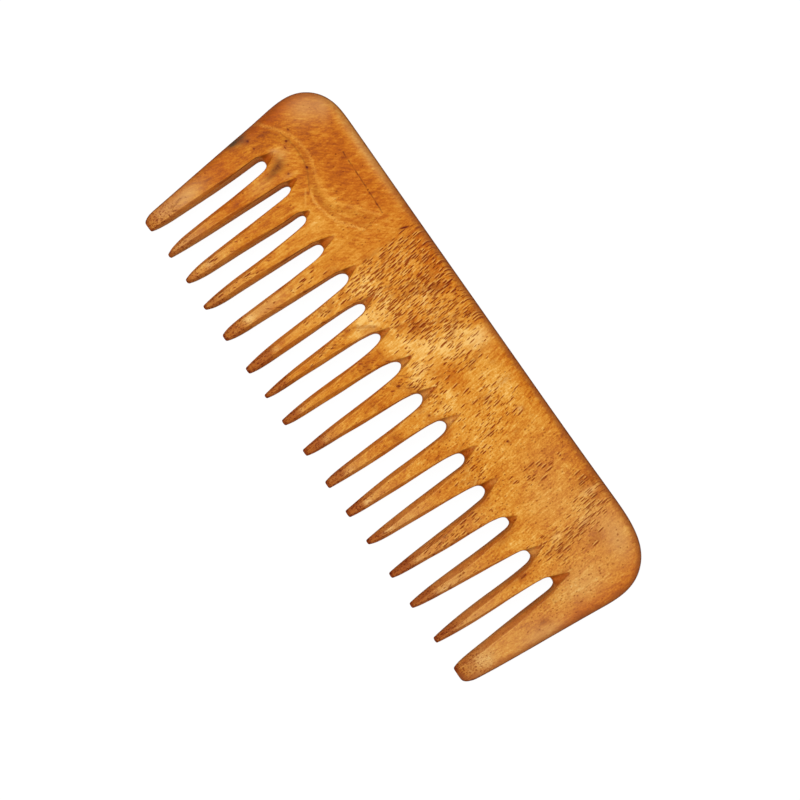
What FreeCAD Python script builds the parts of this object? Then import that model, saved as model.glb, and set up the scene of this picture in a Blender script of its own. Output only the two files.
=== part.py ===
import FreeCAD, Part
import os
from FreeCAD import Vector

# Wide tooth hair comb, cut and filed from one board of oiled hardwood.
# Frame: X along the comb, +Y towards the spine, teeth towards -Y, +Z out of
# the front face.  The finished comb's back face lies on z = 0, with the origin
# in its middle.  It is built about mid thickness and lifted at the end.
# "Left" is -X.  All sizes in millimetres.

# ---------------------------------------------------------------- sizes
THICKNESS = 9.0          # board thickness at the spine and body
SPINE_ROUND = 3.0        # rounding of the spine and the outer edges
TOOTH_EASE = 1.05        # easing of the tooth edges at the root
TIP_SKEW = 0.0075        # fall in y per mm of x of the line of the tips

# walled tools, which shape the board and the gaps
TOOL_HALF_HEIGHT = 6.2
TOOL_EXIT_Y = -38.0      # open end of the tools, beyond the tips
WALL_TOP_MARGIN = 0.7    # least height left above the flared part of a wall
BOARD_END_INSET = 0.15   # inward step in x from the outline's ends to the exit line
# from a gap edge's end to the exit line: sideways spread, then drop in y
EXIT_SPREAD = 0.4375     # spread on the exit line itself
EXIT_STEPS = [(0.3675, 1.3), (0.2625, 0.55)]

# slab that sets the thickness, and block that trims the tooth ends
SLAB_HALF_LENGTH = 100.0
SLAB_TOP_Y = 40.0
SLAB_END = (-39.0, 0.55)             # y and half thickness past the tips
SLAB_END_DIRECTION = Vector(0, -1, -0.05)
TRIM_HALF_LENGTH = 100.0
TRIM_LEFT_RISE = 0.05                # trim line's left end above the first tip
TRIM_RIGHT_DROP = 0.15               # trim line's right end below the last tip
TRIM_BOTTOM_Y = -45
TRIM_HALF_HEIGHT = TOOL_HALF_HEIGHT + 1

# sloping cutter run-outs at the roots
RUNOUT_DEPTH = 3.3       # depth below the face
RUNOUT_WIDTH_SHARE = 0.92            # width as a share of the gap width
RUNOUT_FLOOR_DROP = 0.9              # lowest point below the top of the root
RUNOUT_APEX_EXTENSION = 0.3          # slope carried on above the face
RUNOUT_BASE_SCALE = 1.25             # groove lengthened into the gap
RUNOUT_SIDE_EXTENSION = 0.35         # sides carried on above the face

# ---------------------------------------------------------------- tables
# (y, half thickness), y with the tip skew taken out.
# Nearly flat through the body, thinning along the teeth, chamfered at the tips.
HALF_THICKNESS = [(8.0, THICKNESS / 2), (0.0, 4.36), (-10.0, 3.93), (-20.0, 3.36),
                  (-27.0, 2.87), (-31.2, 2.50), (-33.2, 2.10), (-34.8, 1.52),
                  (-36.2, 0.95), (-37.0, 0.70)]
# (y, rounding radius), for the outer edge and for the teeth
OUTER_ROUND = [(8.0, SPINE_ROUND), (-8.0, 2.3), (-24.0, 1.35), (-31.0, 0.8),
               (-34.0, 0.50), (-38.0, 0.30)]
TOOTH_ROUND = [(8.0, TOOTH_EASE), (-10.0, 0.98), (-28.0, 0.78), (-33.0, 0.45),
               (-36.0, 0.28), (-38.0, 0.25)]

# (x, y) outline of the board, from the first tooth's tip over the spine to the last
OUTLINE = [
    (-87.45, -36.60), (-87.90, -35.50), (-88.75, -34.40), (-89.33, -33.00), (-89.72, -31.00),
    (-90.54, -22.87), (-91.71, -11.55), (-92.80, -0.64), (-93.82, 9.65), (-94.80, 17.98),
    (-95.00, 22.06), (-94.77, 24.81), (-94.27, 26.96), (-93.54, 28.79), (-92.53, 30.47),
    (-91.26, 32.03), (-89.77, 33.37), (-88.11, 34.46), (-86.19, 35.33), (-83.95, 35.98),
    (-80.89, 36.37), (-76.00, 36.48), (-62.97, 36.44), (-51.62, 36.39), (-34.50, 36.34),
    (-17.10, 36.32), (0.00, 36.30), (17.48, 36.28), (34.50, 36.26), (51.46, 36.32),
    (64.00, 36.46), (72.20, 36.50), (77.39, 36.24), (81.56, 35.58), (84.55, 34.72),
    (86.91, 33.65), (88.90, 32.39), (90.56, 30.93), (91.97, 29.28), (93.10, 27.50),
    (93.97, 25.54), (94.60, 23.21), (94.95, 20.20), (94.85, 15.80), (93.95, 6.62),
    (92.93, -4.42), (91.96, -15.53), (91.00, -25.46), (90.35, -31.00), (90.04, -33.00),
    (89.65, -34.27), (89.12, -35.45), (88.30, -36.35), (87.60, -37.20)]

# (x, y) middle of each tooth's blunt end
TIPS = [
    (-86.61, -35.13), (-75.24, -34.97), (-65.44, -35.01), (-55.43, -35.29), (-43.92, -35.64),
    (-31.21, -35.64), (-21.25, -35.67), (-11.17, -35.80), (0.49, -35.77), (12.95, -35.80),
    (24.18, -35.83), (35.12, -35.83), (47.96, -35.89), (59.52, -36.08), (72.87, -36.18),
    (86.11, -36.47)]

# The fifteen gaps: (x, y) where the cutter ran out on the face, then the (x, y)
# points of the gap's edge at mid thickness, from the tip on its left, round the
# root, to the tip on its right.
GAPS = [
    ((-82.62, 11.43), [
        (-84.93, -34.90), (-84.78, -34.22), (-84.61, -33.33), (-84.39, -31.75), (-84.10, -27.96),
        (-83.95, -21.96), (-83.79, -14.96), (-83.76, -6.96), (-83.90, 0.36), (-83.97, 3.26),
        (-84.00, 4.76), (-83.90, 5.75), (-83.54, 6.46), (-82.98, 6.88), (-82.40, 7.01),
        (-81.81, 6.96), (-81.11, 6.92), (-80.37, 6.66), (-79.81, 5.84), (-79.49, 4.38),
        (-79.13, 1.50), (-78.57, -7.00), (-78.28, -15.00), (-77.96, -21.99), (-77.60, -27.98),
        (-76.97, -31.72), (-76.54, -33.26), (-76.23, -34.11), (-75.96, -34.76)]),
    ((-71.73, 12.69), [
        (-74.53, -34.72), (-74.47, -34.02), (-74.41, -33.12), (-74.29, -31.52), (-74.02, -27.73),
        (-73.70, -21.74), (-73.45, -14.75), (-73.24, -6.75), (-72.94, 2.12), (-72.80, 5.01),
        (-72.73, 6.51), (-72.62, 7.51), (-72.33, 8.25), (-71.87, 8.76), (-71.31, 8.96),
        (-70.71, 8.90), (-70.05, 8.69), (-69.55, 8.08), (-69.19, 7.15), (-68.98, 5.67),
        (-68.77, 2.78), (-68.39, -6.91), (-68.17, -14.91), (-67.91, -21.91), (-67.56, -27.90),
        (-67.02, -31.66), (-66.68, -33.22), (-66.45, -34.09), (-66.24, -34.76)]),
    ((-60.94, 10.05), [
        (-64.63, -34.79), (-64.44, -34.12), (-64.21, -33.24), (-63.90, -31.67), (-63.46, -27.90),
        (-63.22, -21.91), (-62.95, -14.91), (-62.59, -6.92), (-62.27, 0.79), (-62.22, 3.69),
        (-62.21, 5.19), (-62.18, 6.18), (-61.93, 6.94), (-61.43, 7.41), (-60.85, 7.53),
        (-60.25, 7.47), (-59.58, 7.29), (-59.02, 6.73), (-58.64, 5.81), (-58.39, 4.33),
        (-58.10, 1.45), (-57.59, -7.12), (-57.44, -15.11), (-57.31, -22.11), (-56.99, -28.10),
        (-56.61, -31.88), (-56.42, -33.47), (-56.30, -34.37), (-56.20, -35.06)]),
    ((-49.83, 11.95), [
        (-54.65, -35.14), (-54.38, -34.49), (-54.09, -33.64), (-53.70, -32.09), (-53.23, -28.32),
        (-53.07, -22.32), (-52.77, -15.33), (-52.46, -7.34), (-52.17, 0.13), (-51.96, 3.03),
        (-51.81, 4.52), (-51.55, 5.48), (-51.06, 6.11), (-50.46, 6.46), (-49.88, 6.58),
        (-49.28, 6.53), (-48.63, 6.30), (-48.11, 5.69), (-47.74, 4.77), (-47.42, 3.30),
        (-47.14, 0.42), (-46.78, -7.55), (-46.60, -15.55), (-46.42, -22.55), (-46.27, -28.55),
        (-45.90, -32.33), (-45.58, -33.89), (-45.33, -34.76), (-45.09, -35.42)]),
    ((-38.19, 12.27), [
        (-42.75, -35.41), (-42.55, -34.74), (-42.32, -33.87), (-42.02, -32.29), (-41.64, -28.51),
        (-41.41, -22.52), (-41.02, -15.53), (-40.66, -7.54), (-40.29, 1.40), (-40.08, 4.29),
        (-39.87, 5.77), (-39.48, 6.69), (-38.97, 7.31), (-38.40, 7.70), (-37.81, 7.82),
        (-37.22, 7.73), (-36.61, 7.41), (-36.10, 6.79), (-35.69, 5.88), (-35.37, 4.42),
        (-35.07, 1.54), (-34.43, -7.56), (-34.13, -15.55), (-33.84, -22.55), (-33.36, -28.53),
        (-32.87, -32.29), (-32.62, -33.87), (-32.46, -34.76), (-32.33, -35.45)]),
    ((-27.61, 11.95), [
        (-30.10, -35.40), (-29.94, -34.72), (-29.78, -33.83), (-29.57, -32.25), (-29.35, -28.45),
        (-29.28, -22.46), (-29.19, -15.46), (-29.19, -7.46), (-29.09, 0.11), (-28.89, 3.00),
        (-28.72, 4.49), (-28.45, 5.45), (-28.01, 6.11), (-27.47, 6.55), (-26.90, 6.71),
        (-26.31, 6.58), (-25.75, 6.17), (-25.34, 5.49), (-25.04, 4.54), (-24.85, 3.05),
        (-24.60, 0.16), (-24.06, -7.55), (-23.70, -15.54), (-23.38, -22.54), (-22.91, -28.52),
        (-22.44, -32.29), (-22.21, -33.87), (-22.07, -34.76), (-21.94, -35.45)]),
    ((-16.19, 9.84), [
        (-20.55, -35.44), (-20.40, -34.75), (-20.23, -33.87), (-20.03, -32.28), (-19.81, -28.49),
        (-19.65, -22.49), (-19.28, -15.50), (-19.00, -7.51), (-18.71, -1.33), (-18.37, 1.55),
        (-18.13, 3.03), (-17.87, 4.00), (-17.47, 4.69), (-16.94, 5.14), (-16.37, 5.29),
        (-15.80, 5.12), (-15.28, 4.65), (-14.88, 3.97), (-14.55, 3.02), (-14.26, 1.55),
        (-13.89, -1.32), (-13.55, -7.67), (-13.47, -15.67), (-13.32, -22.67), (-12.97, -28.66),
        (-12.60, -32.44), (-12.41, -34.03), (-12.28, -34.92), (-12.18, -35.62)]),
    ((-5.18, 10.37), [
        (-10.16, -35.56), (-9.99, -34.88), (-9.80, -34.00), (-9.56, -32.42), (-9.27, -28.63),
        (-9.00, -22.64), (-8.59, -15.65), (-8.32, -7.65), (-7.91, -1.05), (-7.46, 1.82),
        (-7.12, 3.28), (-6.74, 4.20), (-6.29, 4.86), (-5.75, 5.31), (-5.18, 5.45),
        (-4.63, 5.24), (-4.12, 4.76), (-3.69, 4.09), (-3.32, 3.16), (-3.03, 1.69),
        (-2.74, -1.19), (-2.33, -7.64), (-2.04, -15.63), (-1.78, -22.63), (-1.41, -28.61),
        (-1.07, -32.40), (-0.90, -33.99), (-0.79, -34.88), (-0.71, -35.58)]),
    ((7.09, 10.90), [
        (1.69, -35.55), (1.86, -34.88), (2.05, -34.00), (2.31, -32.42), (2.65, -28.63),
        (3.02, -22.65), (3.62, -15.67), (4.08, -7.68), (4.47, -1.48), (4.83, 1.40),
        (5.09, 2.88), (5.39, 3.83), (5.83, 4.50), (6.38, 4.91), (6.96, 5.06),
        (7.54, 4.94), (8.13, 4.56), (8.64, 3.95), (9.07, 3.05), (9.37, 1.59),
        (9.65, -1.30), (9.97, -7.68), (10.21, -15.68), (10.50, -22.67), (10.75, -28.67),
        (11.05, -32.45), (11.30, -34.03), (11.49, -34.91), (11.67, -35.59)]),
    ((18.62, 11.64), [
        (14.23, -35.54), (14.30, -34.84), (14.38, -33.94), (14.52, -32.35), (14.83, -28.56),
        (15.21, -22.57), (15.50, -15.58), (15.61, -7.58), (15.87, -0.19), (16.16, 2.70),
        (16.40, 4.18), (16.76, 5.10), (17.28, 5.71), (17.87, 6.08), (18.44, 6.24),
        (19.03, 6.14), (19.62, 5.77), (20.14, 5.16), (20.56, 4.26), (20.83, 2.79),
        (21.07, -0.10), (21.31, -7.66), (21.46, -15.66), (21.80, -22.65), (22.24, -28.63),
        (22.59, -32.42), (22.74, -34.01), (22.83, -34.91), (22.90, -35.60)]),
    ((29.83, 10.37), [
        (25.45, -35.57), (25.57, -34.88), (25.70, -33.98), (25.89, -32.40), (26.20, -28.61),
        (26.55, -22.62), (26.95, -15.63), (27.20, -7.64), (27.53, -1.25), (27.89, 1.63),
        (28.17, 3.10), (28.56, 4.01), (29.11, 4.59), (29.74, 4.89), (30.33, 4.99),
        (30.91, 4.88), (31.50, 4.50), (32.00, 3.88), (32.36, 2.96), (32.52, 1.47),
        (32.61, -1.43), (32.79, -7.66), (33.03, -15.65), (33.31, -22.65), (33.66, -28.64),
        (33.97, -32.42), (34.11, -34.02), (34.20, -34.91), (34.27, -35.61)]),
    ((42.00, 10.37), [
        (35.96, -35.62), (36.21, -34.96), (36.49, -34.11), (36.86, -32.55), (37.35, -28.79),
        (37.79, -22.80), (38.34, -15.82), (38.88, -7.84), (39.42, -1.65), (39.80, 1.22),
        (40.14, 2.68), (40.66, 3.53), (41.28, 4.03), (41.93, 4.26), (42.53, 4.33),
        (43.11, 4.21), (43.69, 3.82), (44.20, 3.21), (44.61, 2.30), (44.86, 0.82),
        (45.10, -2.07), (45.44, -7.77), (45.75, -15.76), (46.04, -22.76), (46.38, -28.75),
        (46.68, -32.54), (46.81, -34.13), (46.90, -35.03), (46.97, -35.72)]),
    ((55.22, 8.25), [
        (48.95, -35.63), (49.11, -34.95), (49.29, -34.07), (49.54, -32.49), (49.95, -28.71),
        (50.46, -22.73), (51.14, -15.77), (51.52, -7.78), (51.93, -1.04), (52.38, 1.83),
        (52.74, 3.28), (53.21, 4.16), (53.84, 4.63), (54.53, 4.77), (55.12, 4.82),
        (55.72, 4.76), (56.32, 4.41), (56.73, 3.73), (56.97, 2.77), (57.12, 1.27),
        (57.29, -1.62), (57.51, -7.86), (57.61, -15.86), (57.70, -22.86), (57.95, -28.86),
        (58.24, -32.64), (58.39, -34.24), (58.49, -35.13), (58.57, -35.83)]),
    ((67.07, 9.31), [
        (60.47, -35.82), (60.63, -35.14), (60.82, -34.26), (61.10, -32.68), (61.63, -28.92),
        (62.29, -22.95), (63.01, -15.99), (63.76, -8.03), (64.46, -1.43), (64.83, 1.45),
        (65.19, 2.90), (65.79, 3.69), (66.48, 4.08), (67.17, 4.20), (67.77, 4.25),
        (68.35, 4.12), (68.93, 3.73), (69.42, 3.11), (69.80, 2.19), (70.04, 0.71),
        (70.28, -2.18), (70.48, -7.99), (70.54, -15.98), (70.75, -22.98), (71.15, -28.97),
        (71.52, -32.75), (71.70, -34.34), (71.81, -35.23), (71.90, -35.93)]),
    ((79.03, 11.43), [
        (73.84, -35.95), (73.93, -35.26), (74.04, -34.37), (74.22, -32.78), (74.61, -29.00),
        (75.05, -23.01), (75.33, -16.02), (75.48, -8.02), (75.83, -0.55), (76.13, 2.33),
        (76.37, 3.81), (76.77, 4.72), (77.37, 5.23), (78.07, 5.31), (78.66, 5.34),
        (79.26, 5.25), (79.87, 4.93), (80.38, 4.32), (80.73, 3.38), (80.91, 1.90),
        (81.06, -1.00), (81.32, -8.33), (81.65, -16.33), (82.05, -23.31), (82.38, -29.31),
        (82.71, -33.09), (82.99, -34.66), (83.21, -35.54), (83.42, -36.21)]),
]


# ---------------------------------------------------------------- helpers
def spline(points, **options):
    curve = Part.BSplineCurve()
    curve.interpolate(Points=points, **options)
    return curve


def sorted_face(edges):
    return Part.Face(Part.Wire(Part.__sortEdges__(edges)))


def outward(solid):
    """Turn an inside-out solid the right way."""
    if solid.Volume < 0:
        solid.reverse()
    return solid


def sewn_solid(faces):
    shell = Part.makeShell(faces)
    shell.sewShape()
    return outward(Part.Solid(shell))


def along(table, x, y):
    """Linear look-up, at the depth y with the tip skew taken out."""
    y = y + TIP_SKEW * x
    if y >= table[0][0]:
        return table[0][1]
    for (y0, v0), (y1, v1) in zip(table, table[1:]):
        if y >= y1:
            return v1 + (v0 - v1) * (y - y1) / (y0 - y1)
    return table[-1][1]


# ---------------------------------------------------------------- walled tools
def centripetal_parameters(points):
    """Parameters from 0 to 1, spaced by the root of the chord length."""
    total = [0.0]
    for a, b in zip(points, points[1:]):
        total.append(total[-1] + ((a[0] - b[0]) ** 2 + (a[1] - b[1]) ** 2) ** 0.25)
    return [t / total[-1] for t in total]


def left_normals(points, parameters):
    """Unit normals to the left of travel; along X on the exit line."""
    curve = spline([Vector(x, y, 0) for x, y in points], Parameters=parameters)
    normals = []
    for (x, y), t in zip(points, parameters):
        tangent = curve.tangent(t)[0]
        normal = (-tangent.y, tangent.x)
        if abs(y - TOOL_EXIT_Y) < 1e-6:
            normal = (1.0 if normal[0] > 0 else -1.0, 0.0)
        normals.append(normal)
    return normals


def wall_section(half, radius):
    """(offset, z) control points: upright at mid thickness, rounded at the faces."""
    upper = [(0.0, half - 1.15 * radius),
             (0.0, half - 0.55 * radius),
             (0.55 * radius, half - 0.05 * radius),
             (1.25 * radius, half + 0.25 * radius),
             (1.55 * radius, min(half + 0.80 * radius, TOOL_HALF_HEIGHT - WALL_TOP_MARGIN)),
             (1.55 * radius, TOOL_HALF_HEIGHT)]
    return [(offset, -z) for offset, z in reversed(upper)] + [(0.0, 0.0)] + upper


def wall_surface(rows, parameters):
    """Cubic along the edge; quadratic in v, from the lower row to the upper."""
    curves = [spline(row, Parameters=parameters) for row in rows]
    first = curves[0]
    grid = [list(column) for column in zip(*[curve.getPoles() for curve in curves])]
    degree = 2
    spans = len(rows) - degree
    knots = [i / float(spans) for i in range(spans + 1)]
    mults = [degree + 1] + [1] * (spans - 1) + [degree + 1]
    surface = Part.BSplineSurface()
    surface.buildFromPolesMultsKnots(grid, first.getMultiplicities(), mults, first.getKnots(),
                                     knots, False, False, first.Degree, degree)
    return surface


def walled_solid(points, rounds, side):
    """Solid inside an open U-shaped edge, with rounded walls.

    side +1 moves the walls to the left of travel as they near the faces,
    side -1 to the right.
    """
    parameters = centripetal_parameters(points)
    normals = left_normals(points, parameters)
    sections = [wall_section(along(HALF_THICKNESS, x, y), along(rounds, x, y))
                for x, y in points]
    rows = []
    for level in zip(*sections):
        rows.append([Vector(x + side * nx * offset, y + side * ny * offset, z)
                     for (x, y), (nx, ny), (offset, z) in zip(points, normals, level)])
    surface = wall_surface(rows, parameters)

    start, end = parameters[0], parameters[-1]
    lower, upper = surface.vIso(0.0).toShape(), surface.vIso(1.0).toShape()
    start_edge, end_edge = surface.uIso(start).toShape(), surface.uIso(end).toShape()
    foot = Part.makeLine(surface.value(start, 0.0), surface.value(end, 0.0))
    head = Part.makeLine(surface.value(start, 1.0), surface.value(end, 1.0))
    return sewn_solid([surface.toShape(),
                       Part.Face(Part.Wire([lower, foot])),
                       Part.Face(Part.Wire([upper, head])),
                       sorted_face([foot, end_edge, head, start_edge])])


def board_blank():
    first, last = OUTLINE[0], OUTLINE[-1]
    points = ([(first[0] + BOARD_END_INSET, TOOL_EXIT_Y)] + OUTLINE
              + [(last[0] - BOARD_END_INSET, TOOL_EXIT_Y)])
    return walled_solid(points, OUTER_ROUND, -1)


def exit_points(end, way):
    """Points from the exit line up to an edge's end; way is -1 left, +1 right."""
    x, y = end
    return ([(x + way * EXIT_SPREAD, TOOL_EXIT_Y)]
            + [(x + way * spread, y - fall) for spread, fall in EXIT_STEPS])


def gap_cutter(edge):
    points = exit_points(edge[0], -1) + edge + exit_points(edge[-1], 1)[::-1]
    return walled_solid(points, TOOTH_ROUND, 1)


# ---------------------------------------------------------------- other tools
def slab():
    """The board's thickness: flat body, thinned teeth, chamfered tips."""
    x = -SLAB_HALF_LENGTH
    shift = -TIP_SKEW * x
    points = [Vector(x, y + shift, half) for y, half in HALF_THICKNESS + [SLAB_END]]
    front = spline(points, InitialTangent=Vector(0, -1, 0),
                   FinalTangent=SLAB_END_DIRECTION).toShape()
    mirror = FreeCAD.Matrix()
    mirror.scale(Vector(1, 1, -1))
    back = front.transformGeometry(mirror)
    body_end, tip_end = points[0], points[-1]
    half = THICKNESS / 2
    top_front = Vector(x, SLAB_TOP_Y + shift, half)
    top_back = Vector(x, SLAB_TOP_Y + shift, -half)
    face = sorted_face([
        Part.makeLine(top_front, body_end), front,
        Part.makeLine(tip_end, Vector(x, tip_end.y, -tip_end.z)), back,
        Part.makeLine(Vector(x, body_end.y, -half), top_back),
        Part.makeLine(top_back, top_front)])
    length = 2 * SLAB_HALF_LENGTH
    return face.extrude(Vector(length, -TIP_SKEW * length, 0))


def end_trim():
    """Everything past the line through the tooth ends."""
    line = ([(-TRIM_HALF_LENGTH, TIPS[0][1] + TRIM_LEFT_RISE)] + TIPS
            + [(TRIM_HALF_LENGTH, TIPS[-1][1] - TRIM_RIGHT_DROP)])
    curve = spline([Vector(x, y, -TRIM_HALF_HEIGHT) for x, y in line])
    left, right = curve.StartPoint, curve.EndPoint
    left_low = Vector(left.x, TRIM_BOTTOM_Y, left.z)
    right_low = Vector(right.x, TRIM_BOTTOM_Y, right.z)
    face = sorted_face([curve.toShape(), Part.makeLine(right, right_low),
                        Part.makeLine(right_low, left_low), Part.makeLine(left_low, left)])
    return outward(face.extrude(Vector(0, 0, 2 * TRIM_HALF_HEIGHT)))


def runout(face_point, edge, sign):
    """Tetrahedron for the sloping groove at a root; sign +1 front, -1 back."""
    top_x, top_y = max(edge, key=lambda p: p[1])
    floor_y = top_y - RUNOUT_FLOOR_DROP
    # edge points nearest the floor's depth, on each side of the root
    left = min((p for p in edge if p[0] <= top_x), key=lambda p: abs(p[1] - floor_y))
    right = min((p for p in edge if p[0] >= top_x), key=lambda p: abs(p[1] - floor_y))
    middle_x = 0.5 * (right[0] + left[0])
    half_width = 0.5 * RUNOUT_WIDTH_SHARE * (right[0] - left[0])
    half = THICKNESS / 2

    start = Vector(face_point[0], face_point[1], sign * half)
    lowest = Vector(middle_x, floor_y, sign * (half - RUNOUT_DEPTH))
    rims = [Vector(middle_x + way * half_width, floor_y, sign * half) for way in (-1, 1)]
    apex = start + (start - lowest) * RUNOUT_APEX_EXTENSION
    floor, rim_left, rim_right = [start + (p - start) * RUNOUT_BASE_SCALE
                                  for p in [lowest] + rims]
    rise_left = rim_left + (rim_left - floor) * RUNOUT_SIDE_EXTENSION
    rise_right = rim_right + (rim_right - floor) * RUNOUT_SIDE_EXTENSION
    triangles = [(apex, floor, rise_left), (apex, rise_left, rise_right),
                 (apex, rise_right, floor), (floor, rise_right, rise_left)]
    return sewn_solid([Part.Face(Part.makePolygon([a, b, c, a])) for a, b, c in triangles])


# ---------------------------------------------------------------- the comb
def comb():
    body = board_blank().common(slab())
    body = body.cut(end_trim())
    for _, edge in GAPS:
        body = body.cut(gap_cutter(edge))
    for face_point, edge in GAPS:
        for sign in (1, -1):
            body = body.cut(runout(face_point, edge, sign))
    # the cuts may return a compound: keep its largest solid
    body = max(body.Solids, key=lambda solid: solid.Volume)
    body.translate(Vector(0, 0, THICKNESS / 2))
    return body


os.makedirs("parts", exist_ok=True)
comb().exportStep("parts/comb.step")
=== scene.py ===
"""Looks of the wide tooth comb: one carved, filed and oiled piece of wood.

The whole comb is one piece, so one mesh stands for the one CAD node.  The
mesh is the CAD comb's solid with the maker's hand left in: filed bevels of
uneven width, hollow cutter run-outs at the roots, a face that isn't quite
flat.  Sizes in this file are in millimetres until the mesh is made.
"""
import math

import bpy
import numpy as np
from mathutils import Matrix, Vector


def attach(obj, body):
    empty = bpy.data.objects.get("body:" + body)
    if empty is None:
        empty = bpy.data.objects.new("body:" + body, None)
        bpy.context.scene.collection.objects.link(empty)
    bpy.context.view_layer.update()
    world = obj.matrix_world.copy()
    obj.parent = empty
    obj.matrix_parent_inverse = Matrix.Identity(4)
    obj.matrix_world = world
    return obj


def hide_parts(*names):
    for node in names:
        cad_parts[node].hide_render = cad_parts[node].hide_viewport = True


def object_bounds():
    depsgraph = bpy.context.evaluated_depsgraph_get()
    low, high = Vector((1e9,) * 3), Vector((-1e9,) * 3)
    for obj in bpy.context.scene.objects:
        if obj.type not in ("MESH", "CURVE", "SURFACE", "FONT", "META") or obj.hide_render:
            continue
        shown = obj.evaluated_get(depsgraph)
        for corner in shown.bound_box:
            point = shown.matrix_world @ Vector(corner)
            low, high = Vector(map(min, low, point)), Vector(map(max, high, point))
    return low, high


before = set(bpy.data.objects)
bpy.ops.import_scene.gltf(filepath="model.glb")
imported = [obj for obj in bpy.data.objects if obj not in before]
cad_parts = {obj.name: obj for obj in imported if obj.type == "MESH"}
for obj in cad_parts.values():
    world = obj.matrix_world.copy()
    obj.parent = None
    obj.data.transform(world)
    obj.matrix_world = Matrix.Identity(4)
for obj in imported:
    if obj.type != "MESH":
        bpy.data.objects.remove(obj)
cad_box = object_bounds()

# ------------------------------------------------------------------ sizes
THICKNESS = 9.0
TIP_SKEW = 0.0075
RUNOUT_DEPTH = 3.3
FINE = 0.2               # pitch of the fine grid the solid is described on

HALF_THICKNESS = [(8.0, 4.50), (0.0, 4.36), (-10.0, 3.93), (-20.0, 3.36),
                  (-27.0, 2.87), (-31.2, 2.50), (-33.2, 2.10), (-34.8, 1.52),
                  (-36.2, 0.95), (-37.0, 0.70)]

OUTLINE = [(-87.45, -36.60), (-87.90, -35.50), (-88.75, -34.40), (-89.33, -33.00), (-89.72, -31.00), (-90.54, -22.87),
           (-91.71, -11.55), (-92.80, -0.64), (-93.82, 9.65), (-94.80, 17.98), (-95.00, 22.06), (-94.77, 24.81),
           (-94.27, 26.96), (-93.54, 28.79), (-92.53, 30.47), (-91.26, 32.03), (-89.77, 33.37), (-88.11, 34.46),
           (-86.19, 35.33), (-83.95, 35.98), (-80.89, 36.37), (-76.00, 36.48), (-62.97, 36.44), (-51.62, 36.39),
           (-34.50, 36.34), (-17.10, 36.32), (0.00, 36.30), (17.48, 36.28), (34.50, 36.26), (51.46, 36.32),
           (64.00, 36.46), (72.20, 36.50), (77.39, 36.24), (81.56, 35.58), (84.55, 34.72), (86.91, 33.65),
           (88.90, 32.39), (90.56, 30.93), (91.97, 29.28), (93.10, 27.50), (93.97, 25.54), (94.60, 23.21),
           (94.95, 20.20), (94.85, 15.80), (93.95, 6.62), (92.93, -4.42), (91.96, -15.53), (91.00, -25.46),
           (90.35, -31.00), (90.04, -33.00), (89.65, -34.27), (89.12, -35.45), (88.30, -36.35), (87.60, -37.20)]

TIPS = [(-86.61, -35.13), (-75.24, -34.97), (-65.44, -35.01), (-55.43, -35.29), (-43.92, -35.64), (-31.21, -35.64),
        (-21.25, -35.67), (-11.17, -35.80), (0.49, -35.77), (12.95, -35.80), (24.18, -35.83), (35.12, -35.83),
        (47.96, -35.89), (59.52, -36.08), (72.87, -36.18), (86.11, -36.47)]

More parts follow.
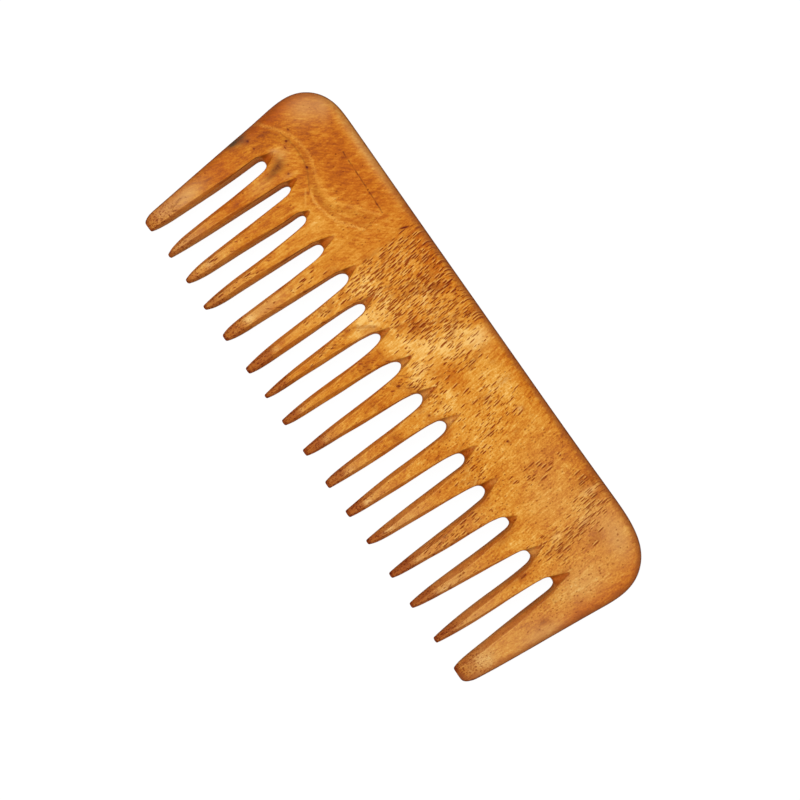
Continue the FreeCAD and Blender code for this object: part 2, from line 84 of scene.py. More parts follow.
GAPS = [
    ((-82.62, 11.43), [(-84.93, -34.90), (-84.78, -34.22), (-84.61, -33.33), (-84.39, -31.75), (-84.10, -27.96), (-83.95, -21.96),
        (-83.79, -14.96), (-83.76, -6.96), (-83.90, 0.36), (-83.97, 3.26), (-84.00, 4.76), (-83.90, 5.75),
        (-83.54, 6.46), (-82.98, 6.88), (-82.40, 7.01), (-81.81, 6.96), (-81.11, 6.92), (-80.37, 6.66),
        (-79.81, 5.84), (-79.49, 4.38), (-79.13, 1.50), (-78.57, -7.00), (-78.28, -15.00), (-77.96, -21.99),
        (-77.60, -27.98), (-76.97, -31.72), (-76.54, -33.26), (-76.23, -34.11), (-75.96, -34.76)]),
    ((-71.73, 12.69), [(-74.53, -34.72), (-74.47, -34.02), (-74.41, -33.12), (-74.29, -31.52), (-74.02, -27.73), (-73.70, -21.74),
        (-73.45, -14.75), (-73.24, -6.75), (-72.94, 2.12), (-72.80, 5.01), (-72.73, 6.51), (-72.62, 7.51),
        (-72.33, 8.25), (-71.87, 8.76), (-71.31, 8.96), (-70.71, 8.90), (-70.05, 8.69), (-69.55, 8.08),
        (-69.19, 7.15), (-68.98, 5.67), (-68.77, 2.78), (-68.39, -6.91), (-68.17, -14.91), (-67.91, -21.91),
        (-67.56, -27.90), (-67.02, -31.66), (-66.68, -33.22), (-66.45, -34.09), (-66.24, -34.76)]),
    ((-60.94, 10.05), [(-64.63, -34.79), (-64.44, -34.12), (-64.21, -33.24), (-63.90, -31.67), (-63.46, -27.90), (-63.22, -21.91),
        (-62.95, -14.91), (-62.59, -6.92), (-62.27, 0.79), (-62.22, 3.69), (-62.21, 5.19), (-62.18, 6.18),
        (-61.93, 6.94), (-61.43, 7.41), (-60.85, 7.53), (-60.25, 7.47), (-59.58, 7.29), (-59.02, 6.73),
        (-58.64, 5.81), (-58.39, 4.33), (-58.10, 1.45), (-57.59, -7.12), (-57.44, -15.11), (-57.31, -22.11),
        (-56.99, -28.10), (-56.61, -31.88), (-56.42, -33.47), (-56.30, -34.37), (-56.20, -35.06)]),
    ((-49.83, 11.95), [(-54.65, -35.14), (-54.38, -34.49), (-54.09, -33.64), (-53.70, -32.09), (-53.23, -28.32), (-53.07, -22.32),
        (-52.77, -15.33), (-52.46, -7.34), (-52.17, 0.13), (-51.96, 3.03), (-51.81, 4.52), (-51.55, 5.48),
        (-51.06, 6.11), (-50.46, 6.46), (-49.88, 6.58), (-49.28, 6.53), (-48.63, 6.30), (-48.11, 5.69),
        (-47.74, 4.77), (-47.42, 3.30), (-47.14, 0.42), (-46.78, -7.55), (-46.60, -15.55), (-46.42, -22.55),
        (-46.27, -28.55), (-45.90, -32.33), (-45.58, -33.89), (-45.33, -34.76), (-45.09, -35.42)]),
    ((-38.19, 12.27), [(-42.75, -35.41), (-42.55, -34.74), (-42.32, -33.87), (-42.02, -32.29), (-41.64, -28.51), (-41.41, -22.52),
        (-41.02, -15.53), (-40.66, -7.54), (-40.29, 1.40), (-40.08, 4.29), (-39.87, 5.77), (-39.48, 6.69),
        (-38.97, 7.31), (-38.40, 7.70), (-37.81, 7.82), (-37.22, 7.73), (-36.61, 7.41), (-36.10, 6.79),
        (-35.69, 5.88), (-35.37, 4.42), (-35.07, 1.54), (-34.43, -7.56), (-34.13, -15.55), (-33.84, -22.55),
        (-33.36, -28.53), (-32.87, -32.29), (-32.62, -33.87), (-32.46, -34.76), (-32.33, -35.45)]),
    ((-27.61, 11.95), [(-30.10, -35.40), (-29.94, -34.72), (-29.78, -33.83), (-29.57, -32.25), (-29.35, -28.45), (-29.28, -22.46),
        (-29.19, -15.46), (-29.19, -7.46), (-29.09, 0.11), (-28.89, 3.00), (-28.72, 4.49), (-28.45, 5.45),
        (-28.01, 6.11), (-27.47, 6.55), (-26.90, 6.71), (-26.31, 6.58), (-25.75, 6.17), (-25.34, 5.49),
        (-25.04, 4.54), (-24.85, 3.05), (-24.60, 0.16), (-24.06, -7.55), (-23.70, -15.54), (-23.38, -22.54),
        (-22.91, -28.52), (-22.44, -32.29), (-22.21, -33.87), (-22.07, -34.76), (-21.94, -35.45)]),
    ((-16.19, 9.84), [(-20.55, -35.44), (-20.40, -34.75), (-20.23, -33.87), (-20.03, -32.28), (-19.81, -28.49), (-19.65, -22.49),
        (-19.28, -15.50), (-19.00, -7.51), (-18.71, -1.33), (-18.37, 1.55), (-18.13, 3.03), (-17.87, 4.00),
        (-17.47, 4.69), (-16.94, 5.14), (-16.37, 5.29), (-15.80, 5.12), (-15.28, 4.65), (-14.88, 3.97),
        (-14.55, 3.02), (-14.26, 1.55), (-13.89, -1.32), (-13.55, -7.67), (-13.47, -15.67), (-13.32, -22.67),
        (-12.97, -28.66), (-12.60, -32.44), (-12.41, -34.03), (-12.28, -34.92), (-12.18, -35.62)]),
    ((-5.18, 10.37), [(-10.16, -35.56), (-9.99, -34.88), (-9.80, -34.00), (-9.56, -32.42), (-9.27, -28.63), (-9.00, -22.64),
        (-8.59, -15.65), (-8.32, -7.65), (-7.91, -1.05), (-7.46, 1.82), (-7.12, 3.28), (-6.74, 4.20),
        (-6.29, 4.86), (-5.75, 5.31), (-5.18, 5.45), (-4.63, 5.24), (-4.12, 4.76), (-3.69, 4.09),
        (-3.32, 3.16), (-3.03, 1.69), (-2.74, -1.19), (-2.33, -7.64), (-2.04, -15.63), (-1.78, -22.63),
        (-1.41, -28.61), (-1.07, -32.40), (-0.90, -33.99), (-0.79, -34.88), (-0.71, -35.58)]),
    ((7.09, 10.90), [(1.69, -35.55), (1.86, -34.88), (2.05, -34.00), (2.31, -32.42), (2.65, -28.63), (3.02, -22.65),
        (3.62, -15.67), (4.08, -7.68), (4.47, -1.48), (4.83, 1.40), (5.09, 2.88), (5.39, 3.83),
        (5.83, 4.50), (6.38, 4.91), (6.96, 5.06), (7.54, 4.94), (8.13, 4.56), (8.64, 3.95),
        (9.07, 3.05), (9.37, 1.59), (9.65, -1.30), (9.97, -7.68), (10.21, -15.68), (10.50, -22.67),
        (10.75, -28.67), (11.05, -32.45), (11.30, -34.03), (11.49, -34.91), (11.67, -35.59)]),
    ((18.62, 11.64), [(14.23, -35.54), (14.30, -34.84), (14.38, -33.94), (14.52, -32.35), (14.83, -28.56), (15.21, -22.57),
        (15.50, -15.58), (15.61, -7.58), (15.87, -0.19), (16.16, 2.70), (16.40, 4.18), (16.76, 5.10),
        (17.28, 5.71), (17.87, 6.08), (18.44, 6.24), (19.03, 6.14), (19.62, 5.77), (20.14, 5.16),
        (20.56, 4.26), (20.83, 2.79), (21.07, -0.10), (21.31, -7.66), (21.46, -15.66), (21.80, -22.65),
        (22.24, -28.63), (22.59, -32.42), (22.74, -34.01), (22.83, -34.91), (22.90, -35.60)]),
    ((29.83, 10.37), [(25.45, -35.57), (25.57, -34.88), (25.70, -33.98), (25.89, -32.40), (26.20, -28.61), (26.55, -22.62),
        (26.95, -15.63), (27.20, -7.64), (27.53, -1.25), (27.89, 1.63), (28.17, 3.10), (28.56, 4.01),
        (29.11, 4.59), (29.74, 4.89), (30.33, 4.99), (30.91, 4.88), (31.50, 4.50), (32.00, 3.88),
        (32.36, 2.96), (32.52, 1.47), (32.61, -1.43), (32.79, -7.66), (33.03, -15.65), (33.31, -22.65),
        (33.66, -28.64), (33.97, -32.42), (34.11, -34.02), (34.20, -34.91), (34.27, -35.61)]),
    ((42.00, 10.37), [(35.96, -35.62), (36.21, -34.96), (36.49, -34.11), (36.86, -32.55), (37.35, -28.79), (37.79, -22.80),
        (38.34, -15.82), (38.88, -7.84), (39.42, -1.65), (39.80, 1.22), (40.14, 2.68), (40.66, 3.53),
        (41.28, 4.03), (41.93, 4.26), (42.53, 4.33), (43.11, 4.21), (43.69, 3.82), (44.20, 3.21),
        (44.61, 2.30), (44.86, 0.82), (45.10, -2.07), (45.44, -7.77), (45.75, -15.76), (46.04, -22.76),
        (46.38, -28.75), (46.68, -32.54), (46.81, -34.13), (46.90, -35.03), (46.97, -35.72)]),
    ((55.22, 8.25), [(48.95, -35.63), (49.11, -34.95), (49.29, -34.07), (49.54, -32.49), (49.95, -28.71), (50.46, -22.73),
        (51.14, -15.77), (51.52, -7.78), (51.93, -1.04), (52.38, 1.83), (52.74, 3.28), (53.21, 4.16),
        (53.84, 4.63), (54.53, 4.77), (55.12, 4.82), (55.72, 4.76), (56.32, 4.41), (56.73, 3.73),
        (56.97, 2.77), (57.12, 1.27), (57.29, -1.62), (57.51, -7.86), (57.61, -15.86), (57.70, -22.86),
        (57.95, -28.86), (58.24, -32.64), (58.39, -34.24), (58.49, -35.13), (58.57, -35.83)]),
    ((67.07, 9.31), [(60.47, -35.82), (60.63, -35.14), (60.82, -34.26), (61.10, -32.68), (61.63, -28.92), (62.29, -22.95),
        (63.01, -15.99), (63.76, -8.03), (64.46, -1.43), (64.83, 1.45), (65.19, 2.90), (65.79, 3.69),
        (66.48, 4.08), (67.17, 4.20), (67.77, 4.25), (68.35, 4.12), (68.93, 3.73), (69.42, 3.11),
        (69.80, 2.19), (70.04, 0.71), (70.28, -2.18), (70.48, -7.99), (70.54, -15.98), (70.75, -22.98),
        (71.15, -28.97), (71.52, -32.75), (71.70, -34.34), (71.81, -35.23), (71.90, -35.93)]),
    ((79.03, 11.43), [(73.84, -35.95), (73.93, -35.26), (74.04, -34.37), (74.22, -32.78), (74.61, -29.00), (75.05, -23.01),
        (75.33, -16.02), (75.48, -8.02), (75.83, -0.55), (76.13, 2.33), (76.37, 3.81), (76.77, 4.72),
        (77.37, 5.23), (78.07, 5.31), (78.66, 5.34), (79.26, 5.25), (79.87, 4.93), (80.38, 4.32),
        (80.73, 3.38), (80.91, 1.90), (81.06, -1.00), (81.32, -8.33), (81.65, -16.33), (82.05, -23.31),
        (82.38, -29.31), (82.71, -33.09), (82.99, -34.66), (83.21, -35.54), (83.42, -36.21)]),
]

# filed bevel on each tooth edge: (distance along Y, size)
BEVEL_ACROSS = [(14.0, 0.35), (3.0, 0.38), (-3.0, 0.52), (-9.0, 0.85), (-15.0, 1.12), (-26.0, 1.18), (-31.0, 1.0), (-34.5, 0.7), (-37.0, 0.6)]
BEVEL_DOWN = [(14.0, 0.45), (3.0, 0.50), (-3.0, 0.62), (-9.0, 0.85), (-15.0, 1.10), (-26.0, 1.15), (-31.0, 0.95), (-34.5, 0.55), (-37.0, 0.4)]
OUTER_ROUND = [(8.0, 3.0), (-8.0, 2.5), (-20.0, 1.9), (-28.0, 1.5), (-31.0, 1.15), (-34.0, 0.75), (-38.0, 0.45)]


# ------------------------------------------------------------------ shape
def along(table, y):
    t = np.array(sorted(table))
    return np.interp(y, t[:, 0], t[:, 1])


def dense(points, n=7):
    """Catmull-Rom curve through the points, n samples to a span."""
    p = np.array(points, float)
    q = np.vstack([2 * p[0] - p[1], p, 2 * p[-1] - p[-2]])
    out = []
    for i in range(1, len(q) - 2):
        t = (np.arange(n) / n)[:, None]
        a, b, c, d = q[i - 1], q[i], q[i + 1], q[i + 2]
        out.append(0.5 * (2 * b + (c - a) * t + (2 * a - 5 * b + 4 * c - d) * t**2 + (3 * b - a - 3 * c + d) * t**3))
    return np.vstack(out + [p[-1:]])


def signed_to_loop(px, py, loop):
    """Distance to a closed polygon's edge, positive inside."""
    a, b = loop, np.roll(loop, -1, 0)
    d2 = np.full(px.shape, 1e9)
    inside = np.zeros(px.shape, bool)
    for (x0, y0), (x1, y1) in zip(a, b):
        ex, ey = x1 - x0, y1 - y0
        l2 = ex * ex + ey * ey
        if l2 < 1e-12:
            continue
        t = np.clip(((px - x0) * ex + (py - y0) * ey) / l2, 0, 1)
        d2 = np.minimum(d2, (px - x0 - t * ex) ** 2 + (py - y0 - t * ey) ** 2)
        if y0 != y1:
            cross = ((y0 > py) != (y1 > py)) & (px < (x1 - x0) * (py - y0) / (y1 - y0) + x0)
            inside ^= cross
    d = np.sqrt(d2)
    return np.where(inside, d, -d)


def blurred(a):
    """A little softening, in both directions."""
    k = (1.0, 4.0, 6.0, 4.0, 1.0)
    for ax in (0, 1):
        p = np.pad(a, [(2, 2) if i == ax else (0, 0) for i in (0, 1)], mode="edge")
        n = a.shape[ax]
        a = sum(w / 16.0 * np.take(p, range(i, i + n), axis=ax) for i, w in enumerate(k))
    return a


def lattice(seed, shape):
    return np.random.RandomState(seed).rand(*shape) * 2 - 1


def smooth_noise(x, y, scale_x, scale_y, seed):
    """Seeded value noise in the plane, -1 to 1, smooth."""
    u, v = x / scale_x + 100.0, y / scale_y + 100.0
    tab = lattice(seed, (256, 256))
    i, j = np.floor(u).astype(int), np.floor(v).astype(int)
    fu, fv = u - i, v - j
    fu, fv = fu * fu * (3 - 2 * fu), fv * fv * (3 - 2 * fv)
    g = lambda a, b: tab[a % 256, b % 256]
    return (g(i, j) * (1 - fu) + g(i + 1, j) * fu) * (1 - fv) + (g(i, j + 1) * (1 - fu) + g(i + 1, j + 1) * fu) * fv


def wide(x):
    """The left-hand bevels were filed wider towards the comb's right end."""
    return 1.0 + 0.60 * np.clip((x - 5.0) / 45.0, 0, 1)


def fields():
    """Every quantity the solid needs, on a fine grid of the comb's plane."""
    gx = np.arange(-98.0, 98.01, FINE)
    gy = np.arange(-39.6, 39.61, FINE)
    X, Y = np.meshgrid(gx, gy)
    lev = Y + TIP_SKEW * X
    out_loop = dense([(OUTLINE[0][0] + 0.15, -41.0)] + OUTLINE + [(OUTLINE[-1][0] - 0.15, -41.0)], 5)
    O = signed_to_loop(X, Y, out_loop)
    G = np.full(X.shape, 6.0)
    share = np.ones(X.shape)
    ht = along(HALF_THICKNESS, lev)
    nf = np.zeros(X.shape)
    nb = np.zeros(X.shape)
    nmask = np.full(X.shape, -3.0)      # how far inside a run-out, mm
    for gi, ((ax, ay), pts) in enumerate(GAPS):
        p = dense(pts, 6)
        k = int(np.argmax(p[:, 1]))
        root = p[k]
        loop = np.vstack([[p[0][0] - 0.4, -41.0], [p[0][0] - 0.3, p[0][1] - 0.6], p, [p[-1][0] + 0.3, p[-1][1] - 0.6], [p[-1][0] + 0.4, -41.0]])
        sel = (X > p[:, 0].min() - 6.5) & (X < p[:, 0].max() + 6.5) & (Y < root[1] + 6.5)
        d = -signed_to_loop(X[sel], Y[sel], loop)
        centre = 0.5 * (p[0][0] + p[-1][0]) + (root[0] - 0.5 * (p[0][0] + p[-1][0])) * np.clip((Y[sel] + 35) / 38.0, 0, 1)
        share[sel] = np.where(d < G[sel], np.where(X[sel] > centre, wide(root[0]), 1.0), share[sel])
        G[sel] = np.minimum(G[sel], d)
        # run-out: a pointed, hollow slope from the face into the root
        ymid = root[1] - 2.2
        left = np.interp(ymid, p[: k + 1, 1], p[: k + 1, 0])
        right = np.interp(ymid, p[k:][::-1, 1], p[k:][::-1, 0])
        half = 0.5 * (right - left) + 0.10
        mid = 0.5 * (right + left)
        t = np.clip((ay - Y) / (ay - ymid), 0, 1)
        xc = ax + (mid - ax) * t + 0.18 * np.sin(3.0 * t + gi)
        w = half * t**0.72 + 1e-3
        dep = RUNOUT_DEPTH * t**1.15
        r = np.abs(X - xc) / w
        cut = np.where((r < 1) & (t > 0), dep * (1 - r**2.2), 0.0)
        near = (Y > ymid - 4.5)
        fade = np.clip((Y - (ymid - 4.5)) / 4.0, 0, 1)
        cut = cut * near * fade
        nf = np.maximum(nf, cut * (0.92 + 0.16 * ((gi * 7) % 5) / 4))
        nb = np.maximum(nb, cut * (0.80 + 0.2 * ((gi * 3) % 5) / 4))
        inside = np.minimum((1 - np.abs(X - xc) / w) * np.minimum(w, 1.2), 0.30 * (ay - Y))
        inside = np.where(near, inside, -3.0)
        inside = np.where(ay - Y > 0, inside, np.minimum(-0.30 * np.hypot(Y - ay, X - ax), -0.01))
        nmask = np.maximum(nmask, inside)
    nf, nb = blurred(nf), blurred(nb)
    tipx = np.array([t[0] for t in TIPS])
    tipy = np.array([t[1] for t in TIPS])
    T = Y - np.interp(X, tipx, tipy)
    wave = 0.045 * smooth_noise(X, Y, 13, 9, 5) + 0.02 * smooth_noise(X, Y, 4.5, 7, 6)
    waveb = 0.05 * smooth_noise(X, Y, 15, 10, 15) + 0.02 * smooth_noise(X, Y, 5, 7, 16)
    body = np.clip((O - 1.0) / 4.0, 0, 1)
    ZF = ht - 0.03 + wave * body - 0.03
    ZB = ht - 0.03 + waveb * body - 0.03
    ZF = ZF - nf
    ZB = ZB - nb
    hand = 1 + 0.22 * smooth_noise(X, Y, 5.5, 9, 9)
    handb = 1 + 0.22 * smooth_noise(X, Y, 5.5, 9, 19)
    bx = along(BEVEL_ACROSS, lev) * share
    bz = along(BEVEL_DOWN, lev) * (0.6 + 0.4 * share)
    R = along(OUTER_ROUND, lev)
    return gx, gy, dict(G=G, O=O, ZF=ZF, ZB=ZB, bx=bx * hand, bxb=bx * handb, bz=bz, R=R, T=T, ht=ht, nm=nmask)


class Solid:
    def __init__(self):
        self.gx, self.gy, self.f = fields()
        self.names = ["G", "O", "ZF", "ZB", "bx", "bxb", "bz", "R", "T", "ht"]
        f = self.f
        gyF, gxF = np.gradient(f["ZF"], FINE)
        gyB, gxB = np.gradient(f["ZB"], FINE)
        f["cF"] = 1 / np.sqrt(1 + gxF**2 + gyF**2)
        f["cB"] = 1 / np.sqrt(1 + gxB**2 + gyB**2)
        self.names += ["cF", "cB"]
        self.stack = np.stack([f[n] for n in self.names])

    def sample(self, x, y, names=None):
        u = np.clip((x - self.gx[0]) / FINE, 0, len(self.gx) - 1.001)
        v = np.clip((y - self.gy[0]) / FINE, 0, len(self.gy) - 1.001)
        i, j = u.astype(int), v.astype(int)
        a, b = u - i, v - j
        s = self.stack if names is None else np.stack([self.f[n] for n in names])
        return s[:, j, i] * (1 - a) * (1 - b) + s[:, j, i + 1] * a * (1 - b) + s[:, j + 1, i] * (1 - a) * b + s[:, j + 1, i + 1] * a * b

    def __call__(self, x, y, z):
        G, O, ZF, ZB, bx, bxb, bz, R, T, ht, cF, cB = self.sample(x, y)
        zn = np.abs(z) / ht
        faces = np.maximum((z - ZF) * cF, (-z - ZB) * cB)
        a, b = faces + R, -O + R
        f = np.minimum(np.maximum(faces, -O), -R) + np.sqrt(np.maximum(a, 0) ** 2 + np.maximum(b, 0) ** 2)
        wall = -G + 0.12 * zn**2
        f = smax(f, wall, 0.16)
        f = smax(f, (z - ZF + bz * (1 - G / bx)) / np.sqrt(1 + (bz / bx) ** 2), 0.14)
        f = smax(f, (-z - ZB + bz * (1 - G / bxb)) / np.sqrt(1 + (bz / bxb) ** 2), 0.14)
        r = 0.38
        a, b = f + r, -T + r
        return np.minimum(np.maximum(f, -T), -r) + np.sqrt(np.maximum(a, 0) ** 2 + np.maximum(b, 0) ** 2)


def smax(a, b, k):
    h = np.clip(0.5 + 0.5 * (a - b) / k, 0, 1)
    return b + (a - b) * h + k * h * (1 - h)


def columns(ys):
    """x of every grid column at each y: columns follow the tooth edges."""
    freeze_lo = -32.6
    yy = np.clip(ys, freeze_lo, None)
    edges = []
    for (_, pts) in GAPS:
        p = dense(pts, 6)
        k = int(np.argmax(p[:, 1]))
        top = p[k][1] - 3.4
        for side in (p[: k + 1], p[k:][::-1]):
            o = np.argsort(side[:, 1], kind="stable")
            q = np.minimum(yy, top)
            edges.append(np.interp(q, side[o, 1], side[o, 0]))
    edges = np.array(edges)
    ker = np.hanning(9)
    ker /= ker.sum()
    sm = lambda v: np.convolve(np.pad(v, 4, mode="edge"), ker, mode="valid")
    edges = np.array([sm(e) for e in edges])
    o = dense(OUTLINE, 5)
    l, r = o[: len(o) // 2], o[len(o) // 2 :]
    l = l[(l[:, 1] < 22.0)]
    r = r[(r[:, 1] < 20.0)][::-1]
    yo = np.clip(ys, freeze_lo, 19.0)
    oo = np.argsort(l[:, 1]); outl = sm(np.interp(yo, l[oo, 1], l[oo, 0]))
    oo = np.argsort(r[:, 1]); outr = sm(np.interp(yo, r[oo, 1], r[oo, 0]))
    lev = ys
    bx = np.maximum(along(BEVEL_ACROSS, np.minimum(lev, -8)), 0.55)
    bx = np.where(lev > -8, bx + (0.75 - bx) * np.clip((lev + 8) / 10, 0, 1), bx)
    cols = [outl - 1.3, outl - 0.75, outl - 0.22]
    left = outl
    for g in range(16):
        right = edges[2 * g] if g < 15 else outr
        nf = 4 if 0 < g < 15 else 13
        e0 = g == 0
        e1 = g == 15
        w = 1.0 if e0 else wide(GAPS[g - 1][1][14][0])
        lo = [0.22, 0.7, 1.25, 1.9, 2.6] if e0 else [0.2, 0.2 + 0.42 * bx * w, 0.2 + 0.88 * bx * w]
        hi = [0.22, 0.7, 1.25, 1.9, 2.6] if e1 else [0.2, 0.2 + 0.42 * bx, 0.2 + 0.88 * bx]
        cols += [left + v for v in lo]
        a, b = left + lo[-1], right - hi[-1]
        cols += [a + (b - a) * t / nf for t in range(1, nf)]
        cols += [right - v for v in hi[::-1]]
        if g < 15:
            gl, gr = edges[2 * g], edges[2 * g + 1]
            h = 0.5 * (gr - gl)
            m = 0.5 * (gr + gl)
            for v in (0.2, 0.62, 1.1, 1.62):
                cols.append(gl + v * np.minimum(1, h / 2.3))
            cols.append(m)
            for v in (1.62, 1.1, 0.62, 0.2):
                cols.append(gr - v * np.minimum(1, h / 2.3))
            left = gr
    cols += [outr + 0.22, outr + 0.75, outr + 1.3]
    return np.array(cols)          # ncol x ny


def build():
    S = Solid()
    ys = np.concatenate([np.arange(-37.3, -32.2, 0.44), np.arange(-32.2, -3.0, 0.70), np.arange(-3.0, 13.4, 0.47),
                         np.arange(13.4, 32.4, 1.0), np.arange(32.4, 37.4, 0.46)])
    X = columns(ys)
    nx, ny = X.shape
    lv = np.array([0.07, 0.22, 0.37, 0.51, 0.63, 0.74, 0.84, 0.93, 1.08])
    sz = np.concatenate([-lv[::-1], lv])
    nz = len(sz)
    Y = np.broadcast_to(ys[None, :], X.shape)
    hw = along(HALF_THICKNESS, Y + TIP_SKEW * X)
    PX = np.broadcast_to(X[:, :, None], (nx, ny, nz))
    PY = np.broadcast_to(Y[:, :, None], (nx, ny, nz))
    PZ = hw[:, :, None] * sz[None, None, :]
    P = np.stack([PX, PY, PZ], -1).reshape(-1, 3)
    V = S(P[:, 0], P[:, 1], P[:, 2]).reshape(nx, ny, nz)
    idx = np.arange(nx * ny * nz).reshape(nx, ny, nz)
    neg = V < 0
    cells_shape = (nx - 1, ny - 1, nz - 1)
    cid = lambda i, j, k: (i * cells_shape[1] + j) * cells_shape[2] + k
    ATA = {}
    rec_cell, rec_p, rec_n, quads, quad_flip = [], [], [], [], []
    for ax in range(3):
        sl0 = [slice(None)] * 3
        sl1 = [slice(None)] * 3
        sl0[ax] = slice(0, -1)
        sl1[ax] = slice(1, None)
        n0, n1 = neg[tuple(sl0)], neg[tuple(sl1)]
        hit = np.argwhere(n0 != n1)
        i0 = idx[tuple(sl0)][n0 != n1]
        i1 = idx[tuple(sl1)][n0 != n1]
        # every crossing edge must be inside the grid
        o1, o2 = [a for a in range(3) if a != ax]
        lim = (nx, ny, nz)
        ok = (hit[:, o1] > 0) & (hit[:, o1] < lim[o1] - 1) & (hit[:, o2] > 0) & (hit[:, o2] < lim[o2] - 1)
        hit, i0, i1 = hit[ok], i0[ok], i1[ok]
        p0, p1 = P[i0], P[i1]
        v0, v1 = V.ravel()[i0], V.ravel()[i1]
        lo, hi, flo, fhi = np.zeros(len(p0)), np.ones(len(p0)), v0.copy(), v1.copy()
        for it in range(6):
            t = lo + (hi - lo) * np.clip(flo / (flo - fhi), 0.06, 0.94)
            q = p0 + (p1 - p0) * t[:, None]
            f = S(q[:, 0], q[:, 1], q[:, 2])
            same = (f < 0) == (flo < 0)
            lo, flo = np.where(same, t, lo), np.where(same, f, flo)
            hi, fhi = np.where(same, hi, t), np.where(same, fhi, f)
        t = lo + (hi - lo) * flo / (flo - fhi)
        q = p0 + (p1 - p0) * t[:, None]
        e = 0.05
        g = np.stack([S(q[:, 0] + e, q[:, 1], q[:, 2]) - S(q[:, 0] - e, q[:, 1], q[:, 2]),
                      S(q[:, 0], q[:, 1] + e, q[:, 2]) - S(q[:, 0], q[:, 1] - e, q[:, 2]),
                      S(q[:, 0], q[:, 1], q[:, 2] + e) - S(q[:, 0], q[:, 1], q[:, 2] - e)], 1)
        g /= np.linalg.norm(g, axis=1)[:, None] + 1e-12
        four = []
        for d1, d2 in ((-1, -1), (0, -1), (0, 0), (-1, 0)):
            c = hit.copy()
            c[:, o1] += d1
            c[:, o2] += d2
            ci = cid(c[:, 0], c[:, 1], c[:, 2])
            four.append(ci)
            rec_cell.append(ci)
            rec_p.append(q)
            rec_n.append(g)
        four = np.stack(four, 1)
        flip = (v0 < 0) ^ (ax == 1)
        quads.append(np.where(flip[:, None], four, four[:, ::-1]))
    cell = np.concatenate(rec_cell)
    p = np.concatenate(rec_p)
    n = np.concatenate(rec_n)
    used, inv = np.unique(cell, return_inverse=True)
    m = len(used)
    cnt = np.bincount(inv, minlength=m)
    mean = np.stack([np.bincount(inv, p[:, k], m) for k in range(3)], 1) / cnt[:, None]
    r = p - mean[inv]
    A = np.zeros((m, 3, 3))
    B = np.zeros((m, 3))
    d = (n * r).sum(1)
    for a in range(3):
        B[:, a] = np.bincount(inv, n[:, a] * d, m)
        for b in range(3):
            A[:, a, b] = np.bincount(inv, n[:, a] * n[:, b], m)
    A += np.eye(3)[None] * 0.12 * 1.0
    off = np.linalg.solve(A, B[:, :, None])[:, :, 0]
    lim = 0.45
    L = np.linalg.norm(off, axis=1)
    off *= np.minimum(1, lim / np.maximum(L, 1e-9))[:, None]
    verts = mean + off
    # settle every vertex on the surface
    for it in range(3):
        e = 0.04
        x, y, z = verts.T
        f = S(x, y, z)
        g = np.stack([S(x + e, y, z) - S(x - e, y, z), S(x, y + e, z) - S(x, y - e, z), S(x, y, z + e) - S(x, y, z - e)], 1) / (2 * e)
        step = -f / np.maximum((g**2).sum(1), 0.25)
        step = np.clip(step, -0.15, 0.15)
        verts = verts + g * step[:, None]
    remap = np.full(int(cell.max()) + 1, -1)
    remap[used] = np.arange(m)
    Q = remap[np.concatenate(quads)]
    return S, verts, Q


